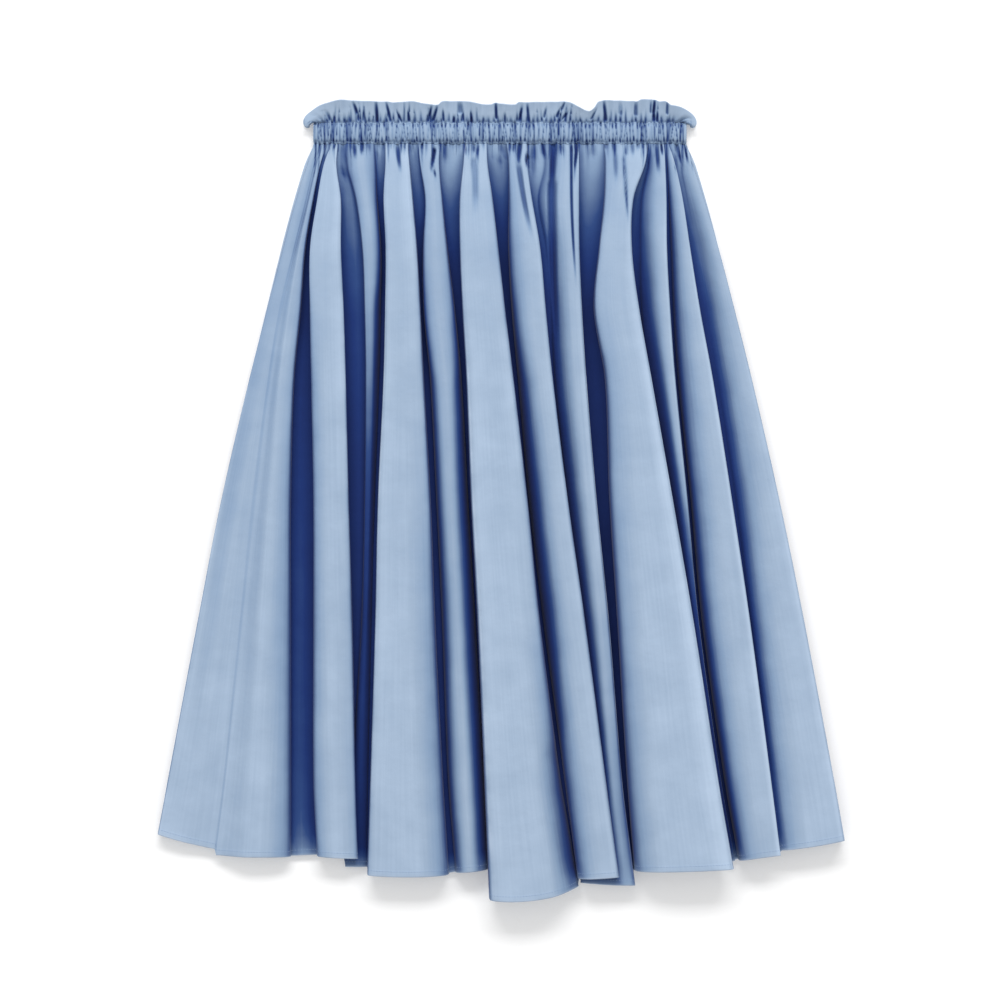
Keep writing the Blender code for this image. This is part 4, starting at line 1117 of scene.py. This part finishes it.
def poplin(name):
    """Cotton poplin, piece-dyed and pressed: a close plain weave with a faint sheen.

    Its colour holds painted light: painted shade from the open attribute takes it to a deep
    saturated blue inside its folds, painted shade lies in the fine gathers at the casing, and a
    painted highlight from the rim attribute lies on crisp edges.
    """
    material, tree, shader = new_material(name, {
        "Roughness": 0.82, "Sheen Weight": 0.1, "Specular IOR Level": 0.3})
    colours = bpy.context.scene.skirt_colours
    # Painted shade and painted highlight are read from the open and rim attributes
    sky = add_node(tree, "ShaderNodeAttribute", {"attribute_name": "open"}).outputs["Fac"]
    rim = add_node(tree, "ShaderNodeAttribute", {"attribute_name": "rim"}).outputs["Fac"]
    place = add_node(tree, "ShaderNodeTexCoord").outputs["Object"]
    flat = add_node(tree, "ShaderNodeUVMap", {"uv_map": "flat_cloth"}).outputs["UV"]
    mottle = noise(tree, place, MOTTLE_FINE)
    long_way = add_node(tree, "ShaderNodeMapping", None, {
        "Vector": flat, "Scale": SLUB_FINE}).outputs["Vector"]
    slub = noise(tree, long_way, 1.0)
    puckers = fine_gathers(tree, place)
    uneven = maths(tree, "MULTIPLY_ADD", mottle, MOTTLE_LIGHT, -EVEN_DARK)
    uneven = maths(tree, "MULTIPLY_ADD", slub, SLUB_LIGHT, uneven)
    # Painted shade in the wedges of the fine gathers
    uneven = maths(tree, "MULTIPLY_ADD", puckers, -FINE_SHADE, uneven)
    light = maths(tree, "SUBTRACT", maths(tree, "ADD", sky, uneven), EVEN_DARK)
    light = maths(tree, "DIVIDE", light, DEPTHS[-1][0])
    # The ramp paints shade into the base colour
    ramp = add_node(tree, "ShaderNodeValToRGB", None, {"Fac": light})
    while len(ramp.color_ramp.elements) < len(DEPTHS):
        ramp.color_ramp.elements.new(0.5)
    for element, (position, shade) in zip(ramp.color_ramp.elements, DEPTHS):
        element.position = position / DEPTHS[-1][0]
        element.color = getattr(colours, shade)
    # Painted highlight on crisp edges, broken up by the mottle
    broken = add_node(tree, "ShaderNodeMapRange", None, {
        "Value": mottle, "From Min": 0.35, "From Max": 0.65, "To Min": 0.15, "To Max": 0.6})
    painted_highlight = maths(tree, "MULTIPLY", rim, broken.outputs["Result"])
    edged = add_node(tree, "ShaderNodeMix", {"data_type": "RGBA"}, {
        0: painted_highlight, 6: ramp.outputs[0], 7: tuple(colours.edge)})
    tree.links.new(edged.outputs[2], shader.inputs["Base Color"])
    ribs = [add_node(tree, "ShaderNodeTexWave", {"bands_direction": way}, {
        "Vector": flat, "Scale": 0.1 * math.pi / WEAVE}).outputs["Fac"] for way in ("X", "Y")]
    weave = maths(tree, "MULTIPLY", *ribs)
    crumple = noise(tree, place, CRUMPLE_FINE, detail=3.0)
    under = {}
    for height, strength, distance, invert in (
            (weave, 0.25, 0.1 * MM, False),
            (crumple, 0.5, 1.2 * MM, False),
            (puckers, 0.6, FINE_DEPTH, True)):
        bump = add_node(tree, "ShaderNodeBump", {"invert": invert}, {
            "Height": height, "Strength": strength, "Distance": distance, **under})
        under = {"Normal": bump.outputs["Normal"]}
    tree.links.new(under["Normal"], shader.inputs["Normal"])
    return material


def thread(name):
    """Spun polyester sewing thread, dyed to match the cloth, a little glossier than it."""
    material, tree, shader = new_material(name, {"Roughness": 0.55})
    colours = bpy.context.scene.skirt_colours
    place = add_node(tree, "ShaderNodeTexCoord").outputs["Object"]
    ramp = add_node(tree, "ShaderNodeValToRGB", None, {"Fac": noise(tree, place, 900.0)})
    ramp.color_ramp.elements[0].color = colours.thread_dark
    ramp.color_ramp.elements[1].color = colours.thread_light
    tree.links.new(ramp.outputs[0], shader.inputs["Base Color"])
    return material


def white_ground(name):
    """White painted board, flat and without a sheen."""
    return new_material(name, {
        "Base Color": (GROUND_WHITE, GROUND_WHITE, GROUND_WHITE, 1.0), "Roughness": 1.0,
        "Specular IOR Level": 0.0, "Emission Color": WHITE, "Emission Strength": GROUND_GLOW,
    })[0]


def studio():
    """Make the white ground, the sky, the softbox and the camera straight above."""
    bpy.ops.mesh.primitive_plane_add(size=GROUND_SIZE)
    ground = bpy.context.object
    ground.name = "ground"
    ground.data.materials.append(named_material("white_ground", white_ground))
    scene = bpy.context.scene
    scene.world = bpy.data.worlds.new("studio")
    scene.world.use_nodes = True
    sky = scene.world.node_tree.nodes["Background"].inputs
    sky["Color"].default_value = WHITE
    sky["Strength"].default_value = SKY_STRENGTH
    softbox = bpy.data.lights.new("softbox", "AREA")
    softbox.shape = "RECTANGLE"
    softbox.size, softbox.size_y = SOFTBOX_SIZE
    softbox.energy = SOFTBOX_POWER
    light = add_object("softbox", softbox)
    light.location = SOFTBOX_PLACE
    light.rotation_euler = (SOFTBOX_TILT, 0.0, 0.0)
    optics = bpy.data.cameras.new("camera")
    optics.lens = CAMERA_LENS
    optics.sensor_width = CAMERA_FILM
    camera = add_object("camera", optics)
    camera.location = CAMERA_PLACE
    scene.camera = camera
    scene.view_settings.view_transform = "Standard"


def measure(name, description, default, least, most):
    """Give a length property, from millimetres."""
    return FloatProperty(name=name, description=description, default=default * MM,
                         min=least * MM, max=most * MM, unit="LENGTH")


class SkirtSizes(bpy.types.PropertyGroup):
    """The sizes of the cloth and its sewing."""
    cloth: measure("Cloth Thickness", "How thick the shell of cloth is", 0.5, 0.2, 2.0)
    stitch_pitch: measure("Stitch Pitch", "How far apart the stitches are", 2.6, 1.0, 6.0)
    stitch_length: measure("Stitch Length", "How long a stitch's thread shows", 2.0, 0.5, 6.0)
    thread: measure("Thread Thickness", "How thick the sewing thread is", 0.32, 0.1, 1.0)


def colour(name, description, hex_colour):
    """Give a colour property that starts at an sRGB colour."""
    return FloatVectorProperty(
        name=name, description=description, default=linear(hex_colour), min=0.0, max=1.0,
        size=4, subtype="COLOR")


class SkirtColours(bpy.types.PropertyGroup):
    """The colours of the cloth's painted shade, from deep inside its folds to its open face, its
    painted highlight on edges, and its thread.
    """
    # Painted shade: the cloth's colour at each step of light, from none to the open sky's
    inmost: colour("Inmost", "The cloth where no light comes in", "#081F5A")
    deep: colour("Deep", "The cloth deep between its folds", "#0D2E70")
    shaded: colour("Shaded", "The cloth on the walls of its folds", "#27457E")
    half_lit: colour("Half Lit", "The cloth that half the sky reaches", "#566E95")
    dull: colour("Dull", "The cloth on the flanks of its folds", "#8098B6")
    plain: colour("Plain", "The open face of the cloth", "#97ABC3")
    bright: colour("Bright", "The brightest places of the open face", "#AEC1D8")
    # Painted highlight on crisp folded edges
    edge: colour("Edge", "Folded edges that catch the light", "#C3D4EA")
    thread_dark: colour("Thread Dark", "The thread between its twists", "#6F8BB0")
    thread_light: colour("Thread Light", "The thread on its twists", "#9DB1CC")


class SKIRT_OT_front_panel(bpy.types.Operator):
    """Make the front panel with its folds, gathers and narrow hem"""
    bl_idname = "skirt.front_panel"
    bl_label = "Front Panel"

    def execute(self, context):
        front_panel()
        return {"FINISHED"}


class SKIRT_OT_back_panel(bpy.types.Operator):
    """Make the back panel under the front"""
    bl_idname = "skirt.back_panel"
    bl_label = "Back Panel"

    def execute(self, context):
        back_panel()
        return {"FINISHED"}


class SKIRT_OT_casing(bpy.types.Operator):
    """Make both halves of the shirred waist casing"""
    bl_idname = "skirt.casing"
    bl_label = "Waist Casing"

    def execute(self, context):
        for side in ("back", "front"):
            casing(side)
        return {"FINISHED"}


class SKIRT_OT_heading(bpy.types.Operator):
    """Make both halves of the ruffled heading"""
    bl_idname = "skirt.heading"
    bl_label = "Heading"

    def execute(self, context):
        for side in ("back", "front"):
            frill(side)
        return {"FINISHED"}


class SKIRT_OT_stitches(bpy.types.Operator):
    """Sew the rows of stitching of the casing and the hem"""
    bl_idname = "skirt.stitches"
    bl_label = "Stitches"

    def execute(self, context):
        for side in ("front", "back"):
            casing_stitches(side)
        hem_stitches()
        return {"FINISHED"}


class SKIRT_OT_studio(bpy.types.Operator):
    """Make the white ground, the sky, the softbox and the camera straight above"""
    bl_idname = "skirt.studio"
    bl_label = "Studio"

    def execute(self, context):
        studio()
        return {"FINISHED"}


OPERATORS = (
    SKIRT_OT_stitches, SKIRT_OT_back_panel, SKIRT_OT_front_panel, SKIRT_OT_casing,
    SKIRT_OT_heading, SKIRT_OT_studio,
)


class SKIRT_PT_sidebar(bpy.types.Panel):
    """Lists the skirt's sizes and the steps that make it"""
    bl_label = "Skirt"
    bl_space_type = "VIEW_3D"
    bl_region_type = "UI"
    bl_category = "Skirt"

    def draw(self, context):
        for size in ("cloth", "stitch_pitch", "stitch_length", "thread"):
            self.layout.prop(context.scene.skirt_sizes, size)
        for _, shade in DEPTHS:
            self.layout.prop(context.scene.skirt_colours, shade)
        for shade in ("edge", "thread_dark", "thread_light"):
            self.layout.prop(context.scene.skirt_colours, shade)
        for operator in OPERATORS:
            self.layout.operator(operator.bl_idname)


CLASSES = (SkirtSizes, SkirtColours) + OPERATORS + (SKIRT_PT_sidebar,)


def register():
    """Register the classes and give each scene its sizes."""
    for one in CLASSES:
        bpy.utils.register_class(one)
    bpy.types.Scene.skirt_sizes = PointerProperty(type=SkirtSizes)
    bpy.types.Scene.skirt_colours = PointerProperty(type=SkirtColours)


def unregister():
    """Take the sizes and the classes away again."""
    del bpy.types.Scene.skirt_colours
    del bpy.types.Scene.skirt_sizes
    for one in reversed(CLASSES):
        bpy.utils.unregister_class(one)


def main():
    """Make the skirt and its studio."""
    register()
    bpy.ops.skirt.stitches()
    bpy.ops.skirt.back_panel()
    bpy.ops.skirt.front_panel()
    bpy.ops.skirt.casing()
    bpy.ops.skirt.heading()
    bpy.ops.skirt.studio()


if __name__ == "__main__":
    main()
